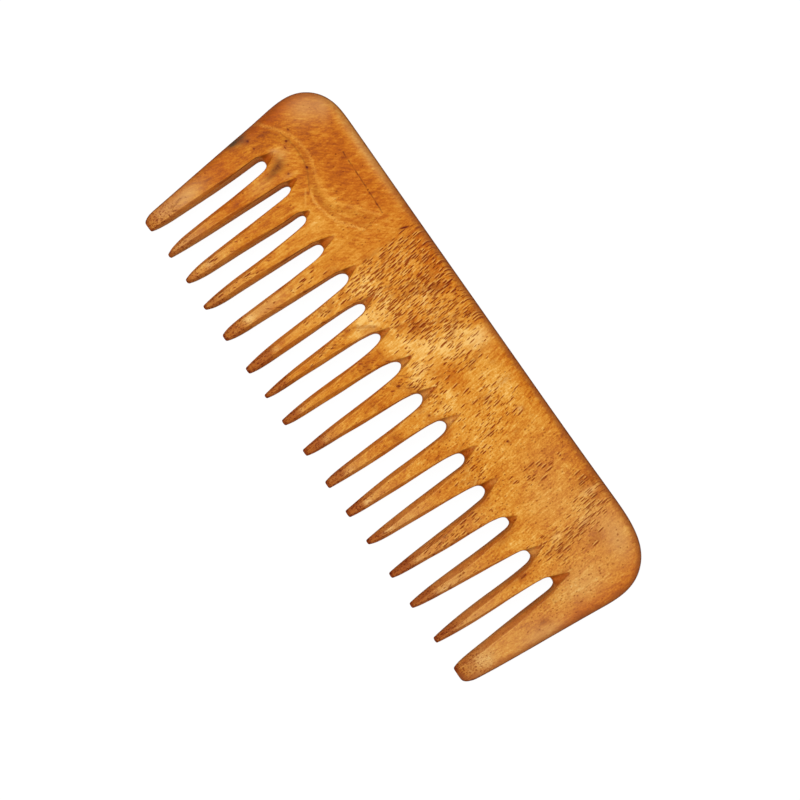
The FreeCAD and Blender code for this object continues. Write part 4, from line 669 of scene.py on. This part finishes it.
def make_comb():
    solid, v, quads = build()
    me = bpy.data.meshes.new("comb_wood")
    n, q = len(v), len(quads)
    me.vertices.add(n)
    world = (v + np.array([0.0, 0.0, THICKNESS / 2])) * 0.001
    me.vertices.foreach_set("co", world.astype(np.float32).ravel())
    me.loops.add(4 * q)
    me.loops.foreach_set("vertex_index", quads.astype(np.int32).ravel())
    me.polygons.add(q)
    me.polygons.foreach_set("loop_start", np.arange(0, 4 * q, 4, dtype=np.int32))
    me.polygons.foreach_set("loop_total", np.full(q, 4, np.int32))
    me.polygons.foreach_set("use_smooth", np.ones(q, bool))
    me.update(calc_edges=True)
    me.validate()
    x, y, z = v.T
    G, O, nm, T = solid.sample(x, y, ["G", "O", "nm", "T"])
    ZF, ZB, bx, bxb, bz = solid.sample(x, y, ["ZF", "ZB", "bx", "bxb", "bz"])
    lev = y + TIP_SKEW * x
    front = z > 0
    # the back is other wood: the plan is turned end for end and softened
    xb = 6.0 - x

    def plan(table, soft=0.7):
        return np.where(front, patches(table, x, y), soft * patches(table, xb, y))

    face = np.where(front, ZF - z, z + ZB)                  # depth below the face
    # bevel coordinate: 1 at the crease, falling to 0 at the gap's edge
    crease = np.minimum(G / np.where(front, bx, bxb), 3.0)
    crease = np.where(lev > 8.0, crease + 0.25 * (lev - 8.0), crease)
    teeth = np.array([t[0] for t in TIPS])
    k = np.abs(x[:, None] - teeth[None, :]).argmin(1)
    ends = np.array(ENDS)
    tip = np.where(y < -20, (ends[k, 0] - y) / 3.2 + 0.5 + 0.35 * smooth_noise(x, y, 1.6, 3.0, 51), -1.0)
    tipk = ends[k, 1]
    lean = np.where(front, bent(LEAN, x), -0.6 * bent(LEAN, xb))
    gu = x + lean * y + 0.55 * smooth_noise(x, y, 14, 20, 31) + 0.18 * smooth_noise(x, y, 5, 10, 32)
    gv = y - 0.12 * x
    # the swirl of fibre at the left of the body runs aslant
    swirl = np.clip((-38.5 - x) / 3.0, 0, 1) * np.clip((y - 4) / 8.0, 0, 1)
    # painted shade beside the gaps, more on some sides than on others
    gaps = np.array(GAP_AT)
    j = np.abs(x[:, None] - gaps[None, :]).argmin(1)
    right = x > gaps[j]
    near = np.clip((2.5 - G) / 1.6, 0, 1)
    high = np.clip((y - 0.0) / 2.0, 0, 1) * np.clip((8.0 - y) / 2.0, 0, 1)
    low = np.clip((y + 9.0) / 3.0, 0, 1) * np.clip((8.0 - y) / 2.0, 0, 1)
    gap_side_shade = near * np.where(right, np.where(x > 44, 0.8 * low, np.where(x > 0, 0.9 * high + 0.2 * low, 0.0)),
                          np.where((x > -44) & (x < 44), 0.9 * high, 0.15 * low))
    # the pored wood starts quite suddenly, a little left of the middle
    pore = plan(PORE) * np.where(front & (y > 6), np.clip((x + 39.4 - 0.05 * (26 - y)) / 1.4, 0, 1), 1.0)
    data = dict(tone=plan(TONE), red=plan(RED), pore=pore, speck=plan(SPECK), streak=plan(STREAK, 0.6), pale=plan(GLINT_AND_PALE, 0.4), tan=plan(TAN),
                stain=patches(STAIN, x, y) * np.clip((z - 0.8) / 2.8, 0, 1), crease=crease, depth=face, tip=tip, tipk=tipk, gu=gu, gv=gv, swirl=swirl,
                notch=nm, rim=O, gap=G, endy=T, runout_glint=plan(RUNOUT_GLINT), gap_side_shade=gap_side_shade, hatch=plan(HATCH))
    for i, line in enumerate(RINGS):
        data["ring%d" % i] = np.where(front, off_line(line, x, y), 30.0)
    for name, values in data.items():
        a = me.attributes.new(name, "FLOAT", "POINT")
        a.data.foreach_set("value", np.asarray(values, np.float32))
    ob = bpy.data.objects.new("comb_wood", me)
    bpy.context.scene.collection.objects.link(ob)
    return ob


# ------------------------------------------------------------------ material
def srgb(r, g, b):
    f = lambda c: (c / 255 / 12.92) if c / 255 <= 0.04045 else ((c / 255 + 0.055) / 1.055) ** 2.4
    return (f(r), f(g), f(b), 1.0)


class Tree:
    """Short names for making a node tree."""

    def __init__(self, name):
        self.mat = bpy.data.materials.new(name)
        self.mat.use_nodes = True
        self.t = self.mat.node_tree
        self.t.nodes.clear()

    def node(self, kind, **props):
        n = self.t.nodes.new(kind)
        for k, v in props.items():
            setattr(n, k, v)
        return n

    def put(self, sock, value):
        if hasattr(value, "is_output"):
            self.t.links.new(value, sock)
        elif value is not None:
            sock.default_value = value

    def attr(self, name):
        return self.node("ShaderNodeAttribute", attribute_name=name).outputs["Fac"]

    def math(self, op, a, b=None, c=None, clamp=False):
        n = self.node("ShaderNodeMath", operation=op, use_clamp=clamp)
        for s, v in zip(n.inputs, (a, b, c)):
            self.put(s, v)
        return n.outputs[0]

    def add(self, *xs):
        out = xs[0]
        for x in xs[1:]:
            out = self.math("ADD", out, x)
        return out

    def mul(self, a, b, clamp=False):
        return self.math("MULTIPLY", a, b, clamp=clamp)

    def swing(self, x, amount):
        """A 0..1 noise, which keeps near its middle, as a swing of about +-amount/2."""
        return self.math("MULTIPLY_ADD", x, 2.0 * amount, -amount)

    def step(self, x, lo, hi, a=0.0, b=1.0, smooth=True):
        n = self.node("ShaderNodeMapRange", interpolation_type="SMOOTHSTEP" if smooth else "LINEAR", clamp=True)
        for s, v in zip(n.inputs[:5], (x, lo, hi, a, b)):
            self.put(s, v)
        return n.outputs[0]

    def vec(self, x, y, z):
        n = self.node("ShaderNodeCombineXYZ")
        for s, v in zip(n.inputs, (x, y, z)):
            self.put(s, v)
        return n.outputs[0]

    def noise(self, vec, detail=2.0, rough=0.5, distort=0.0):
        n = self.node("ShaderNodeTexNoise", noise_dimensions="3D")
        self.put(n.inputs["Vector"], vec)
        for k, v in (("Scale", 1.0), ("Detail", detail), ("Roughness", rough), ("Distortion", distort)):
            self.put(n.inputs[k], v)
        return n.outputs["Fac"]

    def cells(self, u, v):
        n = self.node("ShaderNodeTexVoronoi", voronoi_dimensions="2D", feature="F1", distance="EUCLIDEAN")
        self.put(n.inputs["Vector"], self.vec(u, v, 0.0))
        self.put(n.inputs["Scale"], 1.0)
        self.put(n.inputs["Randomness"], 1.0)
        sep = self.node("ShaderNodeSeparateColor")
        self.put(sep.inputs[0], n.outputs["Color"])
        return n.outputs["Distance"], sep.outputs[0], sep.outputs[1], sep.outputs[2]

    def ramp(self, fac, stops):
        n = self.node("ShaderNodeValToRGB")
        self.put(n.inputs[0], fac)
        e = n.color_ramp.elements
        while len(e) > 1:
            e.remove(e[-1])
        e[0].position, e[0].color = stops[0]
        for p, c in stops[1:]:
            k = e.new(p)
            k.color = c
        return n.outputs[0]

    def mix(self, fac, a, b, blend="MIX"):
        n = self.node("ShaderNodeMix", data_type="RGBA", blend_type=blend, clamp_result=False)
        self.put(n.inputs["Factor"], fac)
        self.put(n.inputs[6], a)
        self.put(n.inputs[7], b)
        return n.outputs[2]

    def spot(self, here, px, py, sx, sy, turn):
        """One soft-edged oval, its long side turned from upright."""
        c, s = math.cos(math.radians(turn)), math.sin(math.radians(turn))
        d = self.node("ShaderNodeVectorMath", operation="SUBTRACT")
        self.put(d.inputs[0], here)
        self.put(d.inputs[1], (px, py, 0.0))
        part = []
        for axis in ((c / sx, s / sx, 0.0), (-s / sy, c / sy, 0.0)):
            n = self.node("ShaderNodeVectorMath", operation="DOT_PRODUCT")
            self.put(n.inputs[0], d.outputs[0])
            self.put(n.inputs[1], axis)
            part.append(n.outputs["Value"])
        return self.step(self.add(self.mul(part[0], part[0]), self.mul(part[1], part[1])), 1.5, 0.4)

    def marks(self, u, v, wide, long, chance, thin, thick, shift=0.0):
        """Marks drawn out along the grain, one to a cell of wide by long."""
        d, a, b, c = self.cells(self.math("MULTIPLY_ADD", u, 1.0 / wide, shift), self.math("MULTIPLY_ADD", v, 1.0 / long, 0.37 * shift))
        size = self.math("MULTIPLY_ADD", b, thick - thin, thin)
        m = self.step(self.math("DIVIDE", d, size), 1.32, 0.62)
        keep = self.math("LESS_THAN", a, chance)
        return self.mul(m, keep), c


def wood():
    k = Tree("oiled_wood")
    geo = k.node("ShaderNodeTexCoord")
    sep = k.node("ShaderNodeSeparateXYZ")
    k.put(sep.inputs[0], geo.outputs["Object"])
    x, y, z = (k.mul(sep.outputs[i], 1000.0) for i in range(3))
    gu, gv = k.attr("gu"), k.attr("gv")
    tone, red, pore, speck, stain, streak, glint_and_pale_mask = (k.attr(n) for n in ("tone", "red", "pore", "speck", "stain", "streak", "pale"))
    crease, depth, tip, tipk, notch, rim, gap, swirl = (k.attr(n) for n in ("crease", "depth", "tip", "tipk", "notch", "rim", "gap", "swirl"))
    tan = k.attr("tan")
    u = k.math("MULTIPLY_ADD", z, 0.9, gu)
    v = k.math("MULTIPLY_ADD", z, 2.0, gv)

    # slow figure, mottle, streaks and fine fibre, all drawn out along the grain
    slow = k.noise(k.vec(k.mul(gu, 0.09), k.mul(gv, 0.06), k.mul(z, 0.05)), 3.0, 0.55, 0.4)
    mott = k.noise(k.vec(k.mul(gu, 0.42), k.mul(gv, 0.22), k.mul(z, 0.25)), 3.0, 0.6, 0.6)
    strk = k.noise(k.vec(k.mul(gu, 1.05), k.mul(gv, 0.16), k.mul(z, 0.6)), 3.0, 0.6, 0.4)
    fibre = k.noise(k.vec(k.mul(gu, 1.7), k.mul(gv, 0.36), k.mul(z, 1.2)), 2.0, 0.62, 0.2)
    # the aslant fibre of the swirl
    sa = k.add(k.mul(x, 0.80), k.mul(y, -0.60))
    sb = k.add(k.mul(x, 0.60), k.mul(y, 0.80))
    aslant = k.noise(k.vec(k.mul(sa, 1.6), k.mul(sb, 0.34), k.mul(z, 1.2)), 2.0, 0.62, 0.5)
    grit = k.noise(k.vec(k.mul(x, 1.9), k.mul(y, 1.5), k.mul(z, 1.9)), 2.0, 0.65, 0.0)
    aslant = k.math("MULTIPLY_ADD", aslant, 1.35, -0.175)
    fine = k.mix(k.mul(swirl, 0.85), k.vec(fibre, fibre, fibre), k.vec(aslant, aslant, aslant))
    fs = k.node("ShaderNodeSeparateXYZ")
    k.put(fs.inputs[0], fine)
    fine = fs.outputs[0]
    lively = k.math("MINIMUM", pore, 1.0)
    t = k.add(0.60, tone, k.mul(k.mul(lively, k.step(x, 12.0, 2.0)), 0.09), k.swing(slow, 0.14), k.swing(mott, 0.26), k.swing(strk, 0.20),
              k.mul(k.swing(fine, 0.34), k.math("MULTIPLY_ADD", lively, 0.6, 1.0)), k.mul(k.swing(grit, 1.0), k.step(x, -4.0, 22.0, 0.22, 0.36)))
    base = k.ramp(t, [(0.0, srgb(104, 42, 2)), (0.22, srgb(154, 73, 4)), (0.42, srgb(188, 102, 12)),
                      (0.60, srgb(209, 132, 34)), (0.78, srgb(224, 158, 62)), (1.0, srgb(242, 194, 110))])
    redf = k.add(k.mul(red, 0.60), k.swing(slow, 0.22))
    redf = k.math("MINIMUM", k.math("MAXIMUM", redf, 0.0), 0.75)
    base = k.mix(redf, base, k.mix(0.65, base, srgb(188, 86, 4)))
    base = k.mix(k.math("MINIMUM", k.math("MAXIMUM", tan, 0.0), 0.85), base, k.mix(0.6, base, srgb(200, 150, 96)))

    darker = lambda fac, r, g, b: k.mix(fac, base, k.mix(1.0, base, srgb(r, g, b), "MULTIPLY"))

    # growth lines
    wob = k.swing(k.noise(k.vec(k.mul(x, 0.45), k.mul(y, 0.45), 0.0), 3.0, 0.5, 0.0), 1.3)
    brk = k.step(k.noise(k.vec(k.mul(x, 1.5), k.mul(y, 1.7), 0.0), 2.0, 0.7, 0.0), 0.36, 0.64)
    r = [k.attr("ring%d" % i) for i in range(5)]
    line = lambda d, w0, w1: k.step(k.math("ABSOLUTE", d), w0, w1)
    r0 = k.add(r[0], k.mul(wob, 0.6))
    grain = k.step(grit, 0.36, 0.62)
    band0 = k.mul(line(k.add(r0, 0.1), 1.0, 0.1), k.mul(k.math("MULTIPLY_ADD", brk, 0.5, 0.35), k.math("MULTIPLY_ADD", grain, 0.7, 0.5)))
    under = k.mul(line(k.add(r0, 2.0), 1.8, 0.5), 0.55)
    base = k.mix(k.mul(band0, 0.48), base, srgb(230, 164, 66))
    base = darker(k.mul(under, 0.55), 214, 206, 150)
    r1 = k.add(r[1], k.mul(wob, 0.25))
    base = darker(k.mul(line(r1, 0.42, 0.05), 0.36), 168, 140, 90)
    r2 = k.add(r[2], k.mul(wob, 0.35))
    band2 = k.mul(line(k.add(r2, -0.2), 0.75, 0.1), k.mul(k.math("MULTIPLY_ADD", brk, 0.75, 0.15), k.math("MULTIPLY_ADD", grain, 0.7, 0.5)))
    base = k.mix(k.mul(band2, 0.60), base, srgb(234, 176, 84))
    base = darker(k.mul(line(k.add(r2, -1.6), 1.1, 0.3), 0.45), 218, 190, 130)
    base = k.mix(k.mul(line(k.add(r[3], k.mul(wob, 0.2)), 0.5, 0.1), 0.35), base, srgb(228, 166, 72))
    scratch = k.mul(line(k.add(r[4], k.mul(wob, 0.25)), 0.36, 0.06), k.step(k.noise(k.vec(k.mul(x, 0.35), 0.0, 3.0), 2.0, 0.6, 0.0), 0.34, 0.60))
    base = darker(k.mul(scratch, 0.85), 150, 112, 70)

    # crisp marks and slanting pores
    ha = k.add(k.mul(x, 0.866), k.mul(y, -0.5))
    hb = k.add(k.mul(x, 0.5), k.mul(y, 0.866))
    hm, ht = k.marks(ha, k.math("MULTIPLY_ADD", z, 2.0, hb), 0.95, 3.2, k.attr("hatch"), 0.14, 0.26, 7.7)
    base = darker(k.mul(hm, k.math("MULTIPLY_ADD", ht, 0.5, 0.4)), 176, 118, 44)
    here = k.vec(x, y, 0.0)
    spots = None
    for px, py, sx, sy, turn, amount in SPOTS:
        m = k.mul(k.spot(here, px, py, sx, sy, turn), amount)
        spots = m if spots is None else k.math("MAXIMUM", spots, m)
    spots = k.mul(spots, k.step(z, 2.0, 2.6))
    base = darker(spots, 172, 114, 20)

    # dark streaks, and rubbed pale spots with painted highlights, broken up by the fibre
    st = k.mul(streak, k.step(fibre, 0.30, 0.60, 0.55, 1.35))
    base = darker(k.math("MINIMUM", st, 1.0), 186, 136, 70)
    # pale spots and painted highlights (glints on the teeth ends)
    base = k.mix(k.math("MINIMUM", k.mul(glint_and_pale_mask, 0.9), 0.9), base, srgb(244, 198, 126))

    # long open pores with a painted highlight as a pale lip on one side, then the finer ones, then short specks
    c1 = k.math("MULTIPLY_ADD", pore, 1.25, -0.03)
    p1, tint1 = k.marks(u, v, 0.90, 4.8, c1, 0.17, 0.33)
    pore_lip_highlight, _ = k.marks(k.add(u, 0.36), v, 0.90, 4.8, c1, 0.15, 0.27)
    p2, tint2 = k.marks(u, v, 0.72, 3.2, k.math("MULTIPLY_ADD", pore, 1.1, -0.02), 0.16, 0.32, 13.7)
    p3, tint3 = k.marks(u, v, 0.95, 1.55, k.math("MULTIPLY_ADD", k.add(speck, k.mul(pore, 0.45)), 0.62, 0.02), 0.14, 0.27, 31.3)
    # painted highlight: the pale lip beside each long pore
    base = k.mix(k.mul(pore_lip_highlight, 0.40), base, srgb(242, 188, 98))
    p1 = k.mul(p1, k.math("MULTIPLY_ADD", tint1, 0.25, 0.80))
    p2 = k.mul(p2, k.math("MULTIPLY_ADD", tint2, 0.50, 0.55))
    p3 = k.mul(p3, k.math("MULTIPLY_ADD", tint3, 0.5, 0.22))
    pores = k.mul(k.math("MAXIMUM", p1, k.math("MAXIMUM", p2, p3)), k.step(x, 38.0, 64.0, 1.0, 0.85))
    base = darker(k.math("MINIMUM", pores, 1.0), 164, 98, 22)

    # painted shade on the tooth shoulders beside the gaps, broken up by the fibre
    base = darker(k.math("MINIMUM", k.mul(k.attr("gap_side_shade"), k.step(fibre, 0.3, 0.7, 0.7, 1.2)), 1.0), 224, 198, 160)

    # worn and oil-soaked places: bevels, walls, run-outs, ends and outer edge; on the bevels, run-outs and outer edge
    # the darkening is partly painted shade
    worn = k.noise(k.vec(k.mul(x, 0.55), k.mul(y, 0.30), k.mul(z, 0.5)), 3.0, 0.6, 0.3)
    soak = lambda amount, tint, keep: (amount, tint, keep)
    bev = k.mul(k.step(crease, 1.10, 0.92), k.step(gap, 3.2, 2.4))
    deep = k.mul(k.step(depth, 0.10, 0.45), k.step(gap, 3.0, 1.6))
    bevm = k.mul(k.math("MAXIMUM", bev, k.mul(deep, 0.9)), k.step(k.add(worn, k.swing(fibre, 0.2)), 0.25, 0.75, 0.60, 1.0))
    slope = k.node("ShaderNodeSeparateXYZ")
    k.put(slope.inputs[0], k.node("ShaderNodeNewGeometry").outputs["True Normal"])
    upright = k.step(k.math("ABSOLUTE", slope.outputs[2]), 0.50, 0.25)
    shady = k.mul(upright, k.step(gap, 2.4, 1.2))
    bevm = k.mul(bevm, k.math("MULTIPLY_ADD", shady, -0.7, 1.0))
    # the gap walls painted paler, more at the left end than the right: painted light on walls the lamps leave in
    # shade
    base = k.mix(k.mul(shady, k.step(x, -20.0, 20.0, 0.75, 0.35)), base, srgb(228, 158, 84))
    # thin line of painted shade along the arris on the side of the left-hand teeth that faces +x
    level = k.math("ABSOLUTE", slope.outputs[2])
    arris = k.mul(k.mul(k.step(level, 0.86, 0.70), k.step(level, 0.22, 0.40)), k.step(gap, 2.4, 1.2))
    arris = k.mul(k.mul(arris, k.step(slope.outputs[0], 0.25, 0.45)), k.mul(k.mul(k.step(x, -46.0, -30.0, 0.75, 0.25), k.step(y, -14.0, -3.0, 0.2, 1.0)), k.step(worn, 0.25, 0.65, 0.45, 1.0)))
    base = k.mix(arris, base, srgb(96, 44, 12))
    # bevels and sunken rims of the gaps darkened: oil-soaked end grain, partly painted shade
    base = k.mix(bevm, base, k.mix(0.30, k.mix(1.0, base, srgb(226, 196, 174), "MULTIPLY"), srgb(170, 96, 38)))
    # painted highlight: a thin pale line along the crease between face and bevel
    lip = k.mul(k.mul(line(k.add(crease, -1.08), 0.12, 0.03), k.step(gap, 3.2, 2.4)), k.step(worn, 0.35, 0.65))
    base = k.mix(k.mul(lip, 0.30), base, srgb(240, 186, 100))
    tipm = k.mul(k.step(k.add(tip, k.swing(fibre, 0.5), k.swing(worn, 0.4)), -0.3, 1.3), tipk)
    base = k.mix(tipm, base, k.mix(0.55, k.mix(1.0, base, srgb(206, 170, 150), "MULTIPLY"), srgb(156, 80, 34)))
    nick = k.mul(k.step(k.noise(k.vec(k.mul(x, 2.1), k.mul(y, 1.2), k.mul(z, 1.5)), 2.0, 0.7, 0.0), 0.50, 0.64), k.step(y, -20.0, -30.0))
    base = darker(k.mul(nick, 0.9), 176, 122, 78)
    base = darker(k.mul(k.step(k.attr("endy"), 1.5, 0.7), 0.75), 196, 150, 120)
    base = darker(k.mul(k.step(y, -34.2, -34.7), k.mul(k.step(x, 80.0, 81.0), 0.55)), 206, 168, 158)
    # run-out fill darkened: oil-soaked end grain, partly painted shade in the hollow
    notm = k.mul(k.step(k.add(notch, k.swing(fibre, 0.30)), -0.12, 0.30), k.math("SUBTRACT", 1.0, shady))
    # painted highlight in the run-outs: it lightens their dark fill and mixes in a pale colour
    runout_glint = k.math("MINIMUM", k.attr("runout_glint"), 1.0)
    base = k.mix(k.mul(notm, k.math("MULTIPLY_ADD", runout_glint, -0.80, 0.88)), base, k.mix(0.55, k.mix(1.0, base, srgb(216, 174, 140), "MULTIPLY"), srgb(166, 78, 14)))
    base = k.mix(k.mul(notm, k.mul(runout_glint, 0.45)), base, srgb(202, 146, 82))
    # painted shade: a dark line along the rim of each run-out
    nedge = line(k.add(notch, -0.10, k.swing(fibre, 0.2)), 0.26, 0.04)
    base = k.mix(k.mul(k.mul(nedge, k.math("SUBTRACT", 1.0, shady)), k.step(worn, 0.3, 0.7, 0.12, 0.5)), base, srgb(122, 54, 10))
    # outer edge darkened, more towards the right: oil-dark finish on the rounded edge, partly painted shade where it
    # turns away
    edge = k.step(k.add(rim, k.swing(worn, 1.3)), 2.9, 0.9)
    edgek = k.step(x, -60.0, -42.0, 0.45, 0.85)
    base = k.mix(k.mul(edge, edgek), base, k.mix(0.55, k.mix(1.0, base, srgb(214, 180, 156), "MULTIPLY"), srgb(164, 94, 46)))
    # painted shade: a thin dark line along the outline
    rimline = k.mul(k.step(k.add(rim, k.swing(worn, 0.3)), 0.75, 0.30), k.step(gap, 1.5, 3.0, 0.3, 0.75))
    base = darker(rimline, 178, 150, 136)
    smudge = k.mix(k.step(x, -86.5, -83.5), srgb(84, 62, 42), srgb(118, 58, 14))
    base = k.mix(k.math("MULTIPLY", stain, k.step(k.add(fibre, k.swing(grit, 0.4)), 0.2, 0.8, 0.6, 1.2), clamp=True), base, smudge)

    bsdf = k.node("ShaderNodeBsdfPrincipled")
    k.put(bsdf.inputs["Base Color"], base)
    k.put(bsdf.inputs["Roughness"], k.add(0.54, k.swing(fine, 0.16), k.mul(pores, 0.25), k.swing(mott, 0.12)))
    wallm = shady
    k.put(bsdf.inputs["Specular IOR Level"], k.step(wallm, 0.0, 1.0, 0.07, 0.03))
    k.put(bsdf.inputs["Coat Weight"], k.step(wallm, 0.0, 1.0, 0.015, 0.0))
    k.put(bsdf.inputs["Coat Roughness"], 0.30)
    height = k.add(k.mul(pores, -0.4), k.mul(fine, 0.55), k.mul(grit, 0.30), k.mul(streak, -0.2))
    bump = k.node("ShaderNodeBump")
    k.put(bump.inputs["Strength"], 0.6)
    k.put(bump.inputs["Distance"], 0.00013)
    k.put(bump.inputs["Height"], height)
    k.put(bsdf.inputs["Normal"], bump.outputs[0])
    out = k.node("ShaderNodeOutputMaterial")
    k.put(out.inputs["Surface"], bsdf.outputs[0])
    return k.mat


comb = make_comb()
comb.data.materials.append(wood())
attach(comb, "root")
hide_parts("comb")


# ------------------------------------------------------------------ stage
def floor():
    me = bpy.data.meshes.new("floor")
    s = 3.0
    me.from_pydata([(-s, -s, 0), (s, -s, 0), (s, s, 0), (-s, s, 0)], [], [(0, 1, 2, 3)])
    ob = bpy.data.objects.new("floor", me)
    ob.location = (0, 0, cad_box[0][2] - 0.0001)
    bpy.context.scene.collection.objects.link(ob)
    k = Tree("floor_white")
    # seen by the camera it is a bright sheet; to the comb it is a quieter one
    d = k.node("ShaderNodeBsdfDiffuse")
    e = k.node("ShaderNodeEmission")
    path = k.node("ShaderNodeLightPath").outputs["Is Camera Ray"]
    look = k.node("ShaderNodeSeparateXYZ")
    k.put(look.inputs[0], k.node("ShaderNodeNewGeometry").outputs["Incoming"])
    low = k.step(k.math("ABSOLUTE", look.outputs[2]), 0.84, 0.62)      # 0 from above, 1 from low down
    away = k.node("ShaderNodeVectorMath", operation="LENGTH")
    k.put(away.inputs[0], k.node("ShaderNodeTexCoord").outputs["Object"])
    low = k.mul(low, k.step(away.outputs["Value"], 0.42, 0.15))        # and only round the comb
    k.put(d.inputs["Color"], k.mix(path, (0.35, 0.33, 0.31, 1), k.mix(low, (0.08, 0.08, 0.08, 1), (0.30, 0.30, 0.30, 1))))
    k.put(e.inputs["Color"], (1, 1, 1, 1))
    k.put(e.inputs["Strength"], k.mul(path, k.math("MULTIPLY_ADD", low, -0.20, 0.96)))
    a = k.node("ShaderNodeAddShader")
    k.put(a.inputs[0], d.outputs[0])
    k.put(a.inputs[1], e.outputs[0])
    out = k.node("ShaderNodeOutputMaterial")
    k.put(out.inputs["Surface"], a.outputs[0])
    me.materials.append(k.mat)
    return ob


floor()


def lamp(name, at, to, size, watts, colour=(1, 1, 1)):
    l = bpy.data.lights.new(name, "AREA")
    l.shape = "DISK"
    l.size = size
    l.energy = watts
    l.color = colour
    o = bpy.data.objects.new(name, l)
    o.location = at
    o.rotation_euler = (Vector(to) - Vector(at)).to_track_quat("-Z", "Y").to_euler()
    bpy.context.scene.collection.objects.link(o)
    return o


# image-right and image-up of the view, in the comb's frame
RIGHT = Vector((0.5755, 0.8178, 0.0))
UP = Vector((-0.8178, 0.5755, 0.0))
mid = Vector((0.00413, -0.00127, 0.0045))
lamp("key", mid + UP * 0.22 - RIGHT * 0.30 + Vector((0, 0, 0.90)), mid, 0.40, 4.1)
lamp("fill", mid - UP * 0.30 + RIGHT * 0.35 + Vector((0, 0, 0.85)), mid, 0.5, 1.65)

world = bpy.data.worlds.new("studio")
bpy.context.scene.world = world
world.use_nodes = True
wt = Tree.__new__(Tree)
wt.t = world.node_tree
wt.t.nodes.clear()
wsep = wt.node("ShaderNodeSeparateXYZ")
wt.put(wsep.inputs[0], wt.node("ShaderNodeTexCoord").outputs["Generated"])
glow = wt.step(wsep.outputs[2], -0.1, 0.95, 0.19, 0.72, smooth=False)
seen = wt.node("ShaderNodeLightPath").outputs["Is Camera Ray"]
bg = wt.node("ShaderNodeBackground")
wt.put(bg.inputs[0], (1.0, 1.0, 1.0, 1.0))
wt.put(bg.inputs[1], wt.math("MAXIMUM", glow, seen))
wout = wt.node("ShaderNodeOutputWorld")
wt.put(wout.inputs[0], bg.outputs[0])

cam = bpy.data.cameras.new("camera")
cam.sensor_width = 36.0
DIST = 0.450
cam.lens = 36.0 * DIST / 0.25389
cam.clip_start = 0.01
camo = bpy.data.objects.new("camera", cam)
bpy.context.scene.collection.objects.link(camo)
at = mid + Vector((0, 0, DIST))
camo.matrix_world = Matrix(((RIGHT.x, UP.x, 0, at.x), (RIGHT.y, UP.y, 0, at.y), (0, 0, 1, at.z), (0, 0, 0, 1)))
bpy.context.scene.camera = camo
bpy.context.scene.view_settings.view_transform = "Standard"
bpy.context.scene.view_settings.look = "None"
